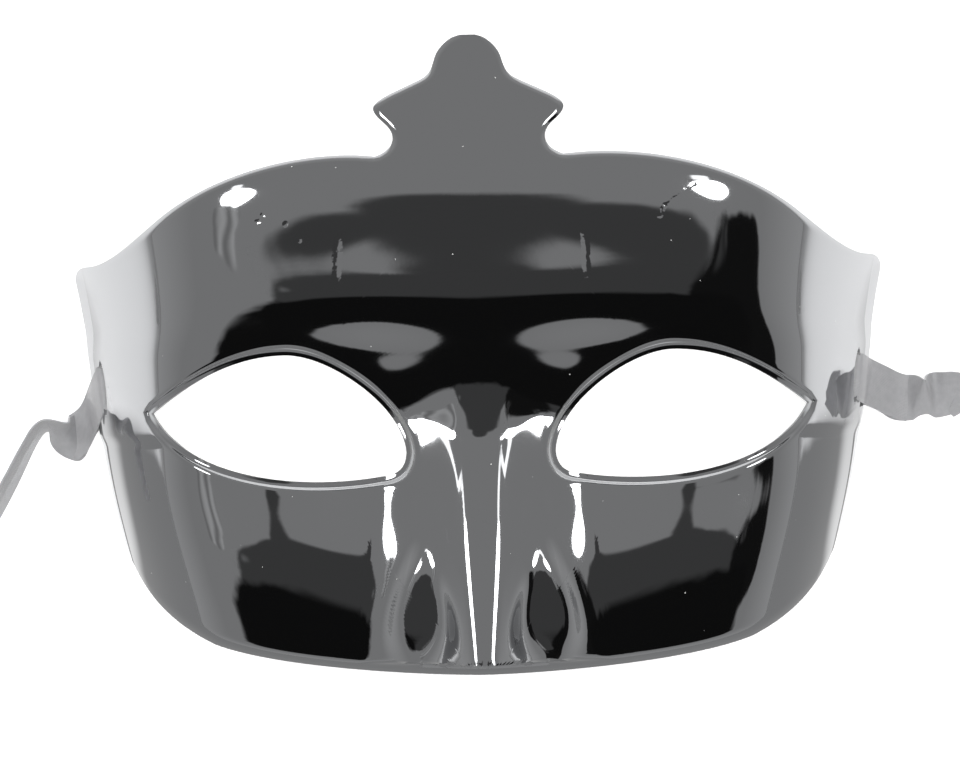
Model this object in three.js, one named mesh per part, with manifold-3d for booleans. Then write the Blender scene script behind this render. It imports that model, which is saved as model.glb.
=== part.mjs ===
// Domino mask. A half mask of thin mirror-finished plastic, vacuum formed in one piece: a brow
// with a crown over it, two almond eye holes with stepped rims, a formed nose, rolled lower
// edges, and a slit near each side edge that holds a satin ribbon looped round the edge strip.
// It lies face up. X runs across the face, Y up the face and Z out of the face, and Z = 0 is
// the surface that the side edges rest on. Lengths are millimetres.
import * as THREE from "three";
import { mergeVertices } from "three/addons/utils/BufferGeometryUtils.js";
import Module from "manifold-3d";

const wasm = await Module();
wasm.setup();

// Sizes of the formed sheet
const MASK_WIDTH = 176; // across the side tabs, at their upper corners
const BODY_HEIGHT = 106; // from the lower edge to the brow edge, without the crown
const FACE_DEPTH = 47; // how far the brow stands over the side edges
const EDGE_LIFT = 2.4; // how far the side edge arches clear of the surface at the slit
const WALL = 0.8;

// The crown over the brow
const CROWN_RISE = 25.8;
const CROWN_WIDTH = 39;
const CROWN_SHIFT = -1.4; // it is trimmed a little off the middle
const CROWN_ROLL = 0.7; // drop of its rounded edge

// The eye holes
const EYE_WIDTH = 52.8;
const EYE_HEIGHT = 25.8;
const EYE_SPACING = 83.4; // between the middles of the two holes
const EYE_BOTTOM = 40.2; // over the lower edge of the mask
const RIM_LIP = 0.9; // flat band round the hole
const RIM_SLOPE = 1.1; // width of the step down to that band
const RIM_STEP = 1.1; // its depth
const SOCKET_DEPTH = 4.2; // how far the brow overhangs the upper rim
const SOCKET_REACH = 9.5;

// The brow, nose and cheeks
const BROW_RISE = 2.6;
const BROW_LEVEL = 77;
const BROW_SPREAD = 10;
const NOSE_ROOT = 48.5; // its height over the lower edge
const NOSE_TIP = 4.8;
const NOSE_RISE = 15; // how far the tip stands over the cheeks
const NOSE_WIDTH = 52; // across the creases, at the tip
const RIDGE_WIDTH = 7; // half the breadth of the rounded bridge
const WING_RISE = 3.6;
const WING_SPACING = 27; // between the middles of the nostril wings
const WING_SPREAD = 5.5;
const NOSE_FLANGE = 2.4; // flat flange between the nose's end wall and the lower edge
const CHEEK_RISE = 2;

// The slits and ribbons
const SLIT_LEVEL = 59.5;
const SLIT_SETBACK = 8.2; // from the side edge to the slit's middle, along the sheet
const SLIT_LENGTH = 11.8;
const SLIT_WIDTH = 3.2;
const RIBBON_WIDTH = 10;
const RIBBON_THICKNESS = 1;
const RIBBON_REACH = 107; // from the middle of the mask to the ribbon's cut end
const LAP = 0.1; // how far the glued end sinks into the run under it
const CLEARANCE = 0.4; // between a ribbon and the sheet

// How finely the sheet is divided
const RINGS = 8; // between the eye rim and the rolled edge
const CROWDING = 1.35; // over 1 brings the rings closer together towards the outer edge
const ROLL_RINGS = 2;
const CROWN_COLUMNS = 6; // on each side of the middle
const MIDLINE_STEPS = 17;
const TAIL_STEPS = 14;
const TINY_EDGE = 0.04; // a cut's edges shorter than this are closed up

// Level sections of the sheet, from the lower edge up. at: share of the body height. half: of
// half the mask width. crest: of the face depth. square: how boxy the arch is.
const SECTIONS = [
  { at: 0.0, half: 0.815, crest: 0.88, square: 2.8 },
  { at: 0.12, half: 0.85, crest: 0.92, square: 2.9 },
  { at: 0.254, half: 0.89, crest: 0.94, square: 3.0 },
  { at: 0.36, half: 0.92, crest: 0.95, square: 3.1 },
  { at: 0.56, half: 0.957, crest: 0.975, square: 3.1 },
  { at: 0.786, half: 1.0, crest: 1.0, square: 2.8 },
  { at: 0.88, half: 1.025, crest: 0.98, square: 2.6 },
  { at: 1.0, half: 1.05, crest: 0.9, square: 2.4 },
];

// The side edge rests below and above an arch. Shares of the body height where the arch
// starts, is full, starts to fall and ends.
const LIFT = { starts: 0.33, full: 0.47, falls: 0.62, ends: 0.69 };

// One side of the trimmed edge as cubic curves, from the foot of the crown round to the middle
// of the lower edge. Points are [share of half the mask width, share of the body height]. A
// curve with no handles follows the ends of the sections. roll: width and drop of the rounded
// edge at its end, in millimetres. steps: how many pieces it is cut into.
const EDGE_CURVES = [
  { to: [0.725, 0.903], handles: [[0.375, 1.016], [0.57, 0.984]], roll: [1.4, 0.7], steps: 9 },
  { to: [0.954, 0.813], handles: [[0.795, 0.866], [0.87, 0.809]], roll: [1.2, 0.3], steps: 5 },
  { to: [1.0, 0.788], handles: [[0.984, 0.815], [1.0, 0.808]], roll: [1, 0], steps: 3 },
  { to: [0.89, 0.254], roll: [1.2, 0], steps: 11 },
  { to: [0.625, 0.065], handles: [[0.867, 0.188], [0.767, 0.115]], roll: [3.8, 4], steps: 8 },
  { to: [0, 0], handles: [[0.455, 0.022], [0.17, 0.002]], roll: [NOSE_TIP, 0.5], steps: 13 },
];
const FOOT_ROLL = [1.4, CROWN_ROLL];
const NO_ROLL = [1.5, 0];

// An eye hole as cubic curves, from its outer corner over the top and back. Points are shares
// of the hole's width, from its inner end, and of its height, from the bottom.
const EYE_START = [1, 0.558];
const EYE_CURVES = [
  { to: [0.461, 1], handles: [[0.812, 0.826], [0.656, 1]] },
  { to: [0, 0.221], handles: [[0.285, 1], [0.012, 0.57]] },
  { to: [0.1, 0.027], handles: [[0, 0.105], [0.031, 0.031]] },
  { to: [1, 0.558], handles: [[0.383, -0.065], [0.832, 0.015]] },
];
const EYE_STEPS = 24;

// The crown's outline. up: share of its rise. half: share of half its width.
const CROWN_ROWS = [
  { up: 0, half: 0.98 },
  { up: 0.05, half: 0.86 },
  { up: 0.12, half: 0.8 },
  { up: 0.2, half: 0.81 },
  { up: 0.27, half: 0.88 },
  { up: 0.34, half: 0.97 },
  { up: 0.4, half: 1.0 },
  { up: 0.46, half: 0.94 },
  { up: 0.53, half: 0.78 },
  { up: 0.61, half: 0.56 },
  { up: 0.68, half: 0.42 },
  { up: 0.76, half: 0.37 },
  { up: 0.85, half: 0.33 },
  { up: 0.93, half: 0.25 },
  { up: 0.98, half: 0.16 },
  { up: 1.0, half: 0.08 },
];

// The ribbons. seam: from the side edge out to where the loop is glued down. drift: how far
// the loop slants down the face on its way there. run: the free run from there to the cut end.
// out: share of the way. up: how far it wanders up the face, in ribbon widths. lean: how far
// it stands up on its edge, in degrees.
const RIBBONS = {
  ribbon_right: {
    mirror: false,
    seam: 8.5,
    drift: 3.5,
    run: [
      { out: 0, up: 0, lean: 0 },
      { out: 0.2, up: 0.02, lean: 22 },
      { out: 0.5, up: 0.1, lean: 32 },
      { out: 0.75, up: 0.06, lean: 34 },
      { out: 1, up: -0.25, lean: 40 },
    ],
  },
  ribbon_left: {
    mirror: true,
    seam: 5,
    drift: 9.5,
    run: [
      { out: 0, up: 0, lean: 0 },
      { out: 0.15, up: 0.02, lean: 40 },
      { out: 0.33, up: 0.26, lean: 74 },
      { out: 0.5, up: 0.0, lean: 82 },
      { out: 0.7, up: -0.65, lean: 74 },
      { out: 1, up: -1.7, lean: 60 },
    ],
  },
};

const HALF_WIDTH = MASK_WIDTH / 2;
const EYE_LEVEL = EYE_BOTTOM + EYE_HEIGHT / 2;
const EYE_MIDDLE = EYE_SPACING / 2;
const EYE_INNER = EYE_MIDDLE - EYE_WIDTH / 2;
const STEP = 0.01; // for slopes taken by differences

const smooth = (low, high, at) => THREE.MathUtils.smoothstep(at, low, high);
const bell = (at) => Math.exp(-at * at);
const flat = (x, y) => new THREE.Vector2(x, y);
const point = (x, y, z) => new THREE.Vector3(x, y, z);

// A natural cubic spline through the knots, straight beyond its ends, so nothing has a kink.
function spline(knots, values) {
  const last = knots.length - 1;
  const bend = new Array(last + 1).fill(0);
  const weight = new Array(last + 1).fill(0);
  for (let i = 1; i < last; i++) {
    const before = knots[i] - knots[i - 1];
    const after = knots[i + 1] - knots[i];
    const turn = (values[i + 1] - values[i]) / after - (values[i] - values[i - 1]) / before;
    const pivot = 2 * (before + after) - before * weight[i - 1];
    weight[i] = after / pivot;
    bend[i] = (6 * turn - before * bend[i - 1]) / pivot;
  }
  for (let i = last - 1; i > 0; i--) bend[i] -= weight[i] * bend[i + 1];
  return (at) => {
    let i = 0;
    while (i < last - 1 && at > knots[i + 1]) i++;
    const span = knots[i + 1] - knots[i];
    const rise = (values[i + 1] - values[i]) / span;
    if (at < knots[0]) return values[0] + (rise - (span * bend[1]) / 6) * (at - knots[0]);
    if (at > knots[last])
      return values[last] + (rise + (span * bend[last - 1]) / 6) * (at - knots[last]);
    const a = (knots[i + 1] - at) / span;
    const b = (at - knots[i]) / span;
    const curve = ((a ** 3 - a) * bend[i] + (b ** 3 - b) * bend[i + 1]) * span * span;
    return a * values[i] + b * values[i + 1] + curve / 6;
  };
}

// One column of a table as a smooth function of another.
function column(table, key, name) {
  return spline(table.map((row) => row[key]), table.map((row) => row[name]));
}

const halfShare = column(SECTIONS, "at", "half");
const crestShare = column(SECTIONS, "at", "crest");
const squareness = column(SECTIONS, "at", "square");
const sectionHalf = (y) => HALF_WIDTH * halfShare(y / BODY_HEIGHT);

// How far the side edge stands clear of the resting surface at a level.
function edgeLift(y) {
  const at = y / BODY_HEIGHT;
  return EDGE_LIFT * smooth(LIFT.starts, LIFT.full, at) * (1 - smooth(LIFT.falls, LIFT.ends, at));
}

// The brow stands out in an arch over the two eyes and the nose root.
function browHeight(x, y) {
  const level = BROW_LEVEL - BROW_SPREAD * 0.9 * (x / (EYE_SPACING * 0.62)) ** 2;
  const fade = 1 - smooth(EYE_SPACING * 0.45, EYE_SPACING * 0.85, Math.abs(x));
  return BROW_RISE * fade * bell((y - level) / BROW_SPREAD);
}

// The sheet sinks round the eyes, deepest under the brow.
function socketDepth(x, y) {
  const across = (Math.abs(x) - EYE_MIDDLE) / (EYE_WIDTH / 2);
  const up = (y - EYE_LEVEL) / (EYE_HEIGHT / 2);
  const away = Math.max(Math.hypot(across, up) - 1, 0) * (EYE_HEIGHT / 2);
  const under = 0.25 + 0.75 * smooth(-0.7, 1, up);
  const inside = 1 - smooth(0.1, 1.1, across);
  return SOCKET_DEPTH * under * inside * bell(away / SOCKET_REACH);
}

// The nose rises from its root to its tip: a rounded bridge on wide flanks that meet the cheeks
// in a crease, with a nostril wing on each side, and a steep end wall.
function noseHeight(x, y) {
  const along = (NOSE_ROOT - y) / (NOSE_ROOT - NOSE_TIP);
  const rise = (NOSE_RISE * (along + Math.hypot(along, 0.08))) / 2;
  const end = smooth(NOSE_FLANGE, NOSE_TIP, y);
  const crease = (NOSE_WIDTH / 2) * (0.62 + 0.38 * Math.min(along, 1) ** 2);
  const out = Math.min(Math.abs(x) / crease, 1);
  const flank = Math.cos((out * Math.PI) / 2);
  const bridge = bell(x / (RIDGE_WIDTH * (1.35 - 0.35 * along)));
  const wing = smooth(0.35, 0.95, along) * bell((Math.abs(x) - WING_SPACING / 2) / WING_SPREAD);
  const shape = rise * (0.5 * flank + 0.5 * bridge) + WING_RISE * wing * Math.min(1, flank * 2.5);
  return end * shape;
}

// The cheeks swell between the eye and the lower edge.
function cheekHeight(x, y) {
  const across = (Math.abs(x) - EYE_MIDDLE) / (EYE_WIDTH / 2);
  const up = (y - EYE_BOTTOM / 2) / (EYE_BOTTOM / 2);
  return CHEEK_RISE * bell(Math.hypot(across, up));
}

// Height of the sheet's front over the surface that it lies on.
function sheetHeight(x, y) {
  const at = y / BODY_HEIGHT;
  const across = Math.abs(x) / sectionHalf(y);
  const lift = edgeLift(y);
  const arch = Math.cos((across ** squareness(at) * Math.PI) / 2);
  const form = lift + (FACE_DEPTH * crestShare(at) - lift) * arch;
  const relief = browHeight(x, y) - socketDepth(x, y) + noseHeight(x, y) + cheekHeight(x, y);
  return form + relief * smooth(0, 0.5, arch);
}

// A point on the front of the sheet, sunk by a drop.
const onSheet = ({ x, y }, drop = 0) => point(x, y, sheetHeight(x, y) - drop);

// The eye hole's outline on the right side, counter-clockwise from its outer corner.
function eyeOutline() {
  const place = ([across, up]) =>
    flat(EYE_INNER + across * EYE_WIDTH, EYE_BOTTOM + up * EYE_HEIGHT);
  const outline = [];
  let from = EYE_START;
  for (const { to, handles } of EYE_CURVES) {
    const curve = new THREE.CubicBezierCurve(...[from, ...handles, to].map(place));
    outline.push(...curve.getPoints(EYE_STEPS).slice(0, -1));
    from = to;
  }
  return outline;
}

// Direction of a point from the middle of the eye hole, with the hole scaled to a circle.
function eyeAngle({ x, y }) {
  return Math.atan2((y - EYE_LEVEL) / EYE_HEIGHT, (x - EYE_MIDDLE) / EYE_WIDTH);
}

// The point of the eye's outline that lies in the same direction as a point outside it.
function eyePointFacing(outline, target) {
  const turn = (from, to) => Math.atan2(Math.sin(to - from), Math.cos(to - from));
  const angle = eyeAngle(target);
  for (let i = 0; i < outline.length; i++) {
    const next = outline[(i + 1) % outline.length];
    const before = turn(eyeAngle(outline[i]), angle);
    const after = turn(angle, eyeAngle(next));
    if (before >= 0 && after > 0 && before + after < 1)
      return outline[i].clone().lerp(next, before / (before + after));
  }
  return outline[0].clone();
}

// The foot of the crown on one side of the middle. side is 1 on the right and -1 on the left.
const crownHalf = (half, side) => (CROWN_WIDTH / 2) * half + side * CROWN_SHIFT;

// The trimmed edge of one side, from the crown's foot to the middle of the lower edge. Each
// entry is a point, with the width and the drop of the rounded edge there.
function trimmedEdge(side) {
  const place = ([across, up]) => flat(across * HALF_WIDTH, up * BODY_HEIGHT);
  const foot = flat(crownHalf(CROWN_ROWS[0].half, side), BODY_HEIGHT);
  const edge = [{ at: foot, roll: FOOT_ROLL }];
  for (const { to, handles, roll, steps } of EDGE_CURVES) {
    const start = edge.at(-1);
    const end = place(to);
    const curve = handles && new THREE.CubicBezierCurve(start.at, ...handles.map(place), end);
    for (let i = 1; i <= steps; i++) {
      const y = THREE.MathUtils.lerp(start.at.y, end.y, i / steps);
      const at = curve ? curve.getPoint(i / steps) : flat(sectionHalf(y), y);
      const share = smooth(0, 1, i / steps);
      edge.push({ at, roll: roll.map((value, k) => start.roll[k] + (value - start.roll[k]) * share) });
    }
  }
  return edge;
}

// The loop round one half of the sheet, counter-clockwise from the middle of the crown's base:
// down the middle of the face, and back along the trimmed edge and the crown's base. Each
// entry gets the place where its rounded edge starts, square to the loop.
function halfLoop(side) {
  const edge = trimmedEdge(side).reverse();
  const foot = edge.at(-1).at;
  const loop = [];
  for (let i = 0; i <= MIDLINE_STEPS; i++) {
    const level = THREE.MathUtils.lerp(BODY_HEIGHT, NOSE_TIP, i / MIDLINE_STEPS);
    loop.push({ at: flat(0, level), roll: NO_ROLL });
  }
  loop.push({ at: flat(0, NOSE_FLANGE), roll: NO_ROLL }, ...edge);
  for (let i = CROWN_COLUMNS - 1; i > 0; i--)
    loop.push({ at: flat((foot.x * i) / CROWN_COLUMNS, foot.y), roll: NO_ROLL });
  loop.forEach((entry, i) => {
    const ahead = loop[(i + 1) % loop.length].at.clone().sub(loop.at(i - 1).at).normalize();
    entry.fold = entry.at.clone().addScaledVector(flat(-ahead.y, ahead.x), entry.roll[0]);
  });
  const corner = loop[MIDLINE_STEPS + 2];
  corner.fold = corner.at.clone().add(flat(NO_ROLL[0], NOSE_FLANGE / 2));
  return loop;
}

// The spokes of one half of the sheet. Each is a row of points from the eye hole's trimmed
// edge, over the rim's step, to the outer edge.
function halfSpokes(side) {
  const outline = eyeOutline();
  const loop = halfLoop(side);
  const hole = loop.map(({ at }) => eyePointFacing(outline, at));
  for (const corner of [outline[0], outline[2 * EYE_STEPS], outline[3 * EYE_STEPS]]) {
    const gaps = hole.map((at) => at.distanceTo(corner));
    hole[gaps.indexOf(Math.min(...gaps))] = corner.clone();
  }
  return loop.map(({ at, roll, fold }, i) => {
    const before = hole.at(i - 1);
    const after = hole[(i + 1) % hole.length];
    const outward = flat(after.y - before.y, before.x - after.x).normalize();
    const lip = hole[i].clone().addScaledVector(outward, RIM_LIP);
    const rim = lip.clone().addScaledVector(outward, RIM_SLOPE);
    const spoke = [onSheet(hole[i], RIM_STEP), onSheet(lip, RIM_STEP)];
    for (let k = 0; k < RINGS; k++)
      spoke.push(onSheet(rim.clone().lerp(fold, 1 - (1 - k / RINGS) ** CROWDING)));
    for (let k = 0; k <= ROLL_RINGS; k++) {
      const share = k / ROLL_RINGS;
      spoke.push(onSheet(fold.clone().lerp(at, share), roll[1] * share ** 2));
    }
    return spoke;
  });
}

// The crown's rows of points, from its base up. Its base row lies on the ends of the spokes.
function crownRows() {
  return CROWN_ROWS.map(({ up, half }) => {
    const row = [];
    for (let i = -CROWN_COLUMNS; i <= CROWN_COLUMNS; i++) {
      const reach = crownHalf(half, Math.sign(i));
      const x = (reach * i) / CROWN_COLUMNS;
      const rounded = Math.min(1, (4 * Math.abs(reach)) / CROWN_WIDTH);
      const drop = Math.abs(i) === CROWN_COLUMNS ? CROWN_ROLL * rounded : 0;
      row.push(onSheet({ x, y: BODY_HEIGHT + up * CROWN_RISE }, drop));
    }
    return row;
  });
}

// Two triangles for each cell of a grid of points, seen counter-clockwise from rows to columns.
function gridTriangles(rows, closed) {
  const corners = [];
  const count = closed ? rows.length : rows.length - 1;
  for (let i = 0; i < count; i++) {
    const here = rows[i];
    const next = rows[(i + 1) % rows.length];
    for (let k = 0; k + 1 < here.length; k++)
      corners.push(here[k], here[k + 1], next[k + 1], here[k], next[k + 1], next[k]);
  }
  return corners;
}

// The same triangles on the other side of the face, still facing out.
function mirrored(corners) {
  const flipped = corners.map(({ x, y, z }) => point(-x, y, z));
  for (let i = 0; i < flipped.length; i += 3)
    [flipped[i + 1], flipped[i + 2]] = [flipped[i + 2], flipped[i + 1]];
  return flipped;
}

// An indexed geometry with shared vertices from a list of triangle corners.
function merged(corners) {
  return mergeVertices(new THREE.BufferGeometry().setFromPoints(corners), 1e-4);
}

// The front of the whole sheet, as one open surface.
function frontSurface() {
  return merged([
    ...gridTriangles(halfSpokes(1), true),
    ...mirrored(gridTriangles(halfSpokes(-1), true)),
    ...gridTriangles(crownRows(), false),
  ]);
}

// An open surface given a wall behind it: a second surface at the wall's depth, and a strip
// along each free edge. Where the second one would go below the resting surface, it is moved
// in level, so that the free edge rests flat.
function thickened(surface, wall) {
  surface.computeVertexNormals();
  const count = surface.attributes.position.count;
  const front = [];
  const back = [];
  for (let i = 0; i < count; i++) {
    const at = point().fromBufferAttribute(surface.attributes.position, i);
    const normal = point().fromBufferAttribute(surface.attributes.normal, i);
    front.push(at);
    const behind = at.clone().addScaledVector(normal, -wall);
    if (behind.z < 0) {
      const level = flat(normal.x, normal.y);
      behind.copy(at).addScaledVector(point(level.x, level.y, 0), -wall / level.lengthSq());
    }
    back.push(behind);
  }
  const faces = Array.from(surface.index.array);
  const edges = new Set();
  const corners = [];
  for (let i = 0; i < faces.length; i += 3) {
    const [a, b, c] = faces.slice(i, i + 3);
    corners.push(front[a], front[b], front[c], back[a], back[c], back[b]);
    for (const [from, to] of [[a, b], [b, c], [c, a]]) edges.add(from * count + to);
  }
  for (const edge of edges) {
    const from = Math.floor(edge / count);
    const to = edge % count;
    if (edges.has(to * count + from)) continue;
    corners.push(front[to], front[from], back[from], front[to], back[from], back[to]);
  }
  return merged(corners);
}

// A solid that can be cut and joined, from a closed geometry.
function solid(geometry) {
  const bare = geometry.clone();
  bare.deleteAttribute("normal");
  bare.deleteAttribute("uv");
  const shared = mergeVertices(bare, 1e-4);
  const vertProperties = new Float32Array(shared.attributes.position.array);
  const triVerts = new Uint32Array(shared.index.array);
  return new wasm.Manifold(new wasm.Mesh({ numProp: 3, vertProperties, triVerts }));
}

// The geometry of a finished solid, with flat-shaded faces. A cut leaves a few tiny edges where
// it passes close to a corner. Their ends are drawn together, and the empty faces dropped.
function geometryOf(body) {
  const { vertProperties, triVerts, numProp } = body.getMesh();
  const places = [];
  for (let i = 0; i < vertProperties.length; i += numProp)
    places.push(point(...vertProperties.slice(i, i + 3)));
  const stands = places.map((_, i) => i);
  const standing = (i) => (stands[i] === i ? i : standing(stands[i]));
  const corners = [];
  for (let i = 0; i < triVerts.length; i++) {
    const a = standing(triVerts[i]);
    const b = standing(triVerts[i % 3 === 2 ? i - 2 : i + 1]);
    if (a !== b && places[a].distanceTo(places[b]) < TINY_EDGE) stands[Math.max(a, b)] = Math.min(a, b);
  }
  for (let i = 0; i < triVerts.length; i += 3) {
    const face = [...triVerts.slice(i, i + 3)].map(standing);
    if (new Set(face).size === 3) corners.push(...face.map((k) => places[k]));
  }
  const geometry = new THREE.BufferGeometry().setFromPoints(corners);
  geometry.computeVertexNormals();
  return geometry;
}

// A box that takes in everything up to a reach on both sides.
function spaceWithin(reach) {
  return solid(new THREE.BoxGeometry(2 * reach, 4 * BODY_HEIGHT, 4 * FACE_DEPTH));
}

// The place of a slit on the right side: its middle on the front of the sheet, the point of
// the side edge below it, and the directions along the edge, up the sheet, and out of it.
function slitPlace() {
  const slope = (sectionHalf(SLIT_LEVEL + STEP) - sectionHalf(SLIT_LEVEL - STEP)) / (2 * STEP);
  const along = point(slope, 1, 0).normalize();
  const outward = point(along.y, -along.x, 0);
  const edge = onSheet(flat(sectionHalf(SLIT_LEVEL), SLIT_LEVEL));
  let middle = edge;
  let climb = 0;
  for (let run = STEP; climb < SLIT_SETBACK; run += STEP) {
    const next = onSheet(edge.clone().addScaledVector(outward, -run));
    climb += next.distanceTo(middle);
    middle = next;
  }
  const up = middle.clone().sub(onSheet(middle.clone().addScaledVector(outward, STEP))).normalize();
  return { edge, middle, along, outward, up, out: along.clone().cross(up).normalize() };
}

// The slit's cutter: a long hole with round ends, square to the sheet.
function slitCutter({ middle, along, up, out }) {
  const radius = SLIT_WIDTH / 2;
  const straight = SLIT_LENGTH / 2 - radius;
  const shape = new THREE.Shape();
  shape.absarc(straight, 0, radius, -Math.PI / 2, Math.PI / 2);
  shape.absarc(-straight, 0, radius, Math.PI / 2, (Math.PI * 3) / 2);
  const depth = 6 * WALL;
  const cutter = new THREE.ExtrudeGeometry(shape, { depth, bevelEnabled: false, curveSegments: 5 });
  cutter.translate(0, 0, -depth / 2);
  cutter.applyMatrix4(new THREE.Matrix4().makeBasis(along, up, out).setPosition(middle));
  return cutter;
}

// The same geometry on the other side of the face.
function mirroredGeometry(geometry) {
  const loose = geometry.index ? geometry.toNonIndexed() : geometry;
  const corners = [];
  for (let i = 0; i < loose.attributes.position.count; i++)
    corners.push(point().fromBufferAttribute(loose.attributes.position, i));
  return merged(mirrored(corners));
}

// A band of ribbon through stations. Each has its middle, its direction across the ribbon, and
// its direction out of the ribbon's face. An inset keeps it inside one that it is joined to.
function band(stations, inset = 0) {
  const rings = stations.map(({ middle, across, face }) => {
    const wide = across.clone().multiplyScalar(RIBBON_WIDTH / 2 - inset);
    const thick = face.clone().multiplyScalar((RIBBON_THICKNESS - inset) / 2);
    const low = middle.clone().sub(wide);
    const high = middle.clone().add(wide);
    return [low.clone().sub(thick), high.clone().sub(thick), high.add(thick), low.add(thick)];
  });
  const corners = gridTriangles(rings.map((ring) => [...ring, ring[0]]), false);
  const [a, b, c, d] = rings[0];
  const [e, f, g, h] = rings.at(-1);
  corners.push(a, c, b, a, d, c, e, f, g, e, g, h);
  return solid(merged(corners));
}

// Stations along a path in the plane square to a slit, with the ribbon's width along the slit.
function loopStations(path, along) {
  return path.map((middle, i) => {
    const ahead = path[Math.min(i + 1, path.length - 1)].clone().sub(path[Math.max(i - 1, 0)]);
    return { middle, across: along, face: ahead.cross(along).normalize() };
  });
}

// Stations of a ribbon's free run on the resting surface, where it wanders and leans over.
function tailStations(start, run) {
  const wander = column(run, "out", "up");
  const lean = column(run, "out", "lean");
  const place = (out) =>
    point(
      THREE.MathUtils.lerp(start.x, RIBBON_REACH, out),
      start.y + wander(out) * RIBBON_WIDTH,
      0,
    );
  const stations = [];
  for (let i = 1; i <= TAIL_STEPS + 1; i++) {
    const out = i / TAIL_STEPS;
    const tilt = THREE.MathUtils.degToRad(Math.max(lean(out), 0));
    const ahead = place(out + STEP).sub(place(out - STEP)).normalize();
    const across = point(-ahead.y, ahead.x, 0).multiplyScalar(Math.cos(tilt));
    across.z = Math.sin(tilt);
    const middle = place(out);
    middle.z = (RIBBON_WIDTH * Math.sin(tilt) + RIBBON_THICKNESS * Math.cos(tilt)) / 2;
    stations.push({ middle, across, face: ahead.clone().cross(across) });
  }
  return stations;
}

// A ribbon on the right side. From the slit it goes down behind the strip, under the side edge
// and out to its cut end. From the slit's front it comes back over the strip to be glued down.
function ribbonBody({ seam, drift, run }, { edge, middle, along, outward, up, out }) {
  const clear = CLEARANCE + RIBBON_THICKNESS / 2;
  const strip = SLIT_SETBACK - SLIT_WIDTH / 2;
  const floor = RIBBON_THICKNESS / 2;
  const inSlit = middle.clone().addScaledVector(up, clear - SLIT_WIDTH / 2);
  const start = inSlit.clone().sub(edge).dot(outward);
  const slant = (at) => {
    const share = (at.clone().sub(edge).dot(outward) - start) / (seam - start);
    return at.clone().addScaledVector(along, -drift * THREE.MathUtils.clamp(share, 0, 1));
  };
  const atSlit = (over) => slant(inSlit.clone().addScaledVector(out, over));
  const onStrip = (climb, over) =>
    slant(edge.clone().addScaledVector(up, climb).addScaledVector(out, over));
  const onTable = (reach, height) =>
    slant(point(edge.x, edge.y, height).addScaledVector(outward, reach));
  const under = [
    atSlit(WALL / 2),
    atSlit(-WALL - floor),
    onStrip(strip - clear / 3, -WALL - 1.35 * clear),
    onStrip(strip * 0.55, -WALL - 1.2 * clear),
    onStrip(strip * 0.15, -WALL - clear),
    onTable(-1.9 * clear, 3.4 * floor),
    onTable(-1.2 * clear, 1.7 * floor),
    onTable(-0.3 * clear, floor),
    onTable(seam, floor),
  ];
  const over = [
    atSlit(-WALL),
    atSlit(WALL / 4),
    onStrip(strip + 0.3 * clear, 0.85 * clear),
    onStrip(strip - clear, 1.15 * clear),
    onTable(seam - 4 * floor, 4.2 * floor),
    onTable(seam, 3 * floor - LAP),
    onTable(seam + 2 * floor, 3 * floor - LAP),
  ];
  const lower = [...loopStations(under, along), ...tailStations(under.at(-1), run)];
  return band(lower).add(band(loopStations(over, along), LAP));
}

const slit = slitPlace();
const cutter = slitCutter(slit);
const chrome = new THREE.MeshStandardMaterial({ color: "#8d8f92", metalness: 1, roughness: 0.12 });
const satin = new THREE.MeshStandardMaterial({ color: "#b4b4b6", metalness: 0, roughness: 0.5 });
const group = new THREE.Group();

const shell = new THREE.Mesh(
  geometryOf(
    solid(thickened(frontSurface(), WALL))
      .subtract(solid(cutter))
      .subtract(solid(mirroredGeometry(cutter))),
  ),
  chrome,
);
shell.name = "mask_shell";
group.add(shell);

for (const [name, ribbon] of Object.entries(RIBBONS)) {
  const body = ribbonBody(ribbon, slit).intersect(spaceWithin(RIBBON_REACH));
  const geometry = geometryOf(body);
  const mesh = new THREE.Mesh(ribbon.mirror ? mirroredGeometry(geometry) : geometry, satin);
  mesh.name = name;
  group.add(mesh);
}

// The origin is under the middle of the mask, on the surface that it lies on.
group.position.y = -(BODY_HEIGHT + CROWN_RISE) / 2;

export default group;
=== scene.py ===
"""Looks of a domino mask that lies face up on a table.

The mask is one sheet of mirror-metallized plastic, vacuum formed and trimmed: a brow with a
crown over it, two almond eye holes with stepped rims, a nose and two cheeks. A satin ribbon is
looped through a slit at each side. Lengths are millimetres on the mask's own plan, where X
runs across the face, Y up from the lower edge and Z out of the face, and each mesh is stored
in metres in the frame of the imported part.
"""

import logging
import math
from dataclasses import dataclass, field
from enum import Enum

import bpy
import numpy as np
from mathutils import Matrix, Vector


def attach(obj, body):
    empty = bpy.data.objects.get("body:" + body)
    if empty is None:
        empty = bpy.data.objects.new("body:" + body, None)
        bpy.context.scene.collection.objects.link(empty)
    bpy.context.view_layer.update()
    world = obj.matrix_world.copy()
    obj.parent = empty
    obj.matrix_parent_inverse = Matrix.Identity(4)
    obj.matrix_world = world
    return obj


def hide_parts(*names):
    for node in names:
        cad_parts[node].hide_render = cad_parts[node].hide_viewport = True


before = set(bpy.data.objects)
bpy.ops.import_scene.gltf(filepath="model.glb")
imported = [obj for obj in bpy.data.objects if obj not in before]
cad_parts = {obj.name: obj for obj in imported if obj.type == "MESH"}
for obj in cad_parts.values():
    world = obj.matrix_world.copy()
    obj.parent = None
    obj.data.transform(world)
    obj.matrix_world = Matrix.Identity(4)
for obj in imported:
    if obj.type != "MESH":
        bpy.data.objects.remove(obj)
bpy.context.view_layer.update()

LOG = logging.getLogger("domino_mask")
MM = 0.001
BODY = "root"
PLAN_TO_FRAME_Y = -65.9  # the frame's origin is under the middle of the mask and its crown
TINY = 1e-12  # keeps a length of 0 from being a divisor
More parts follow.
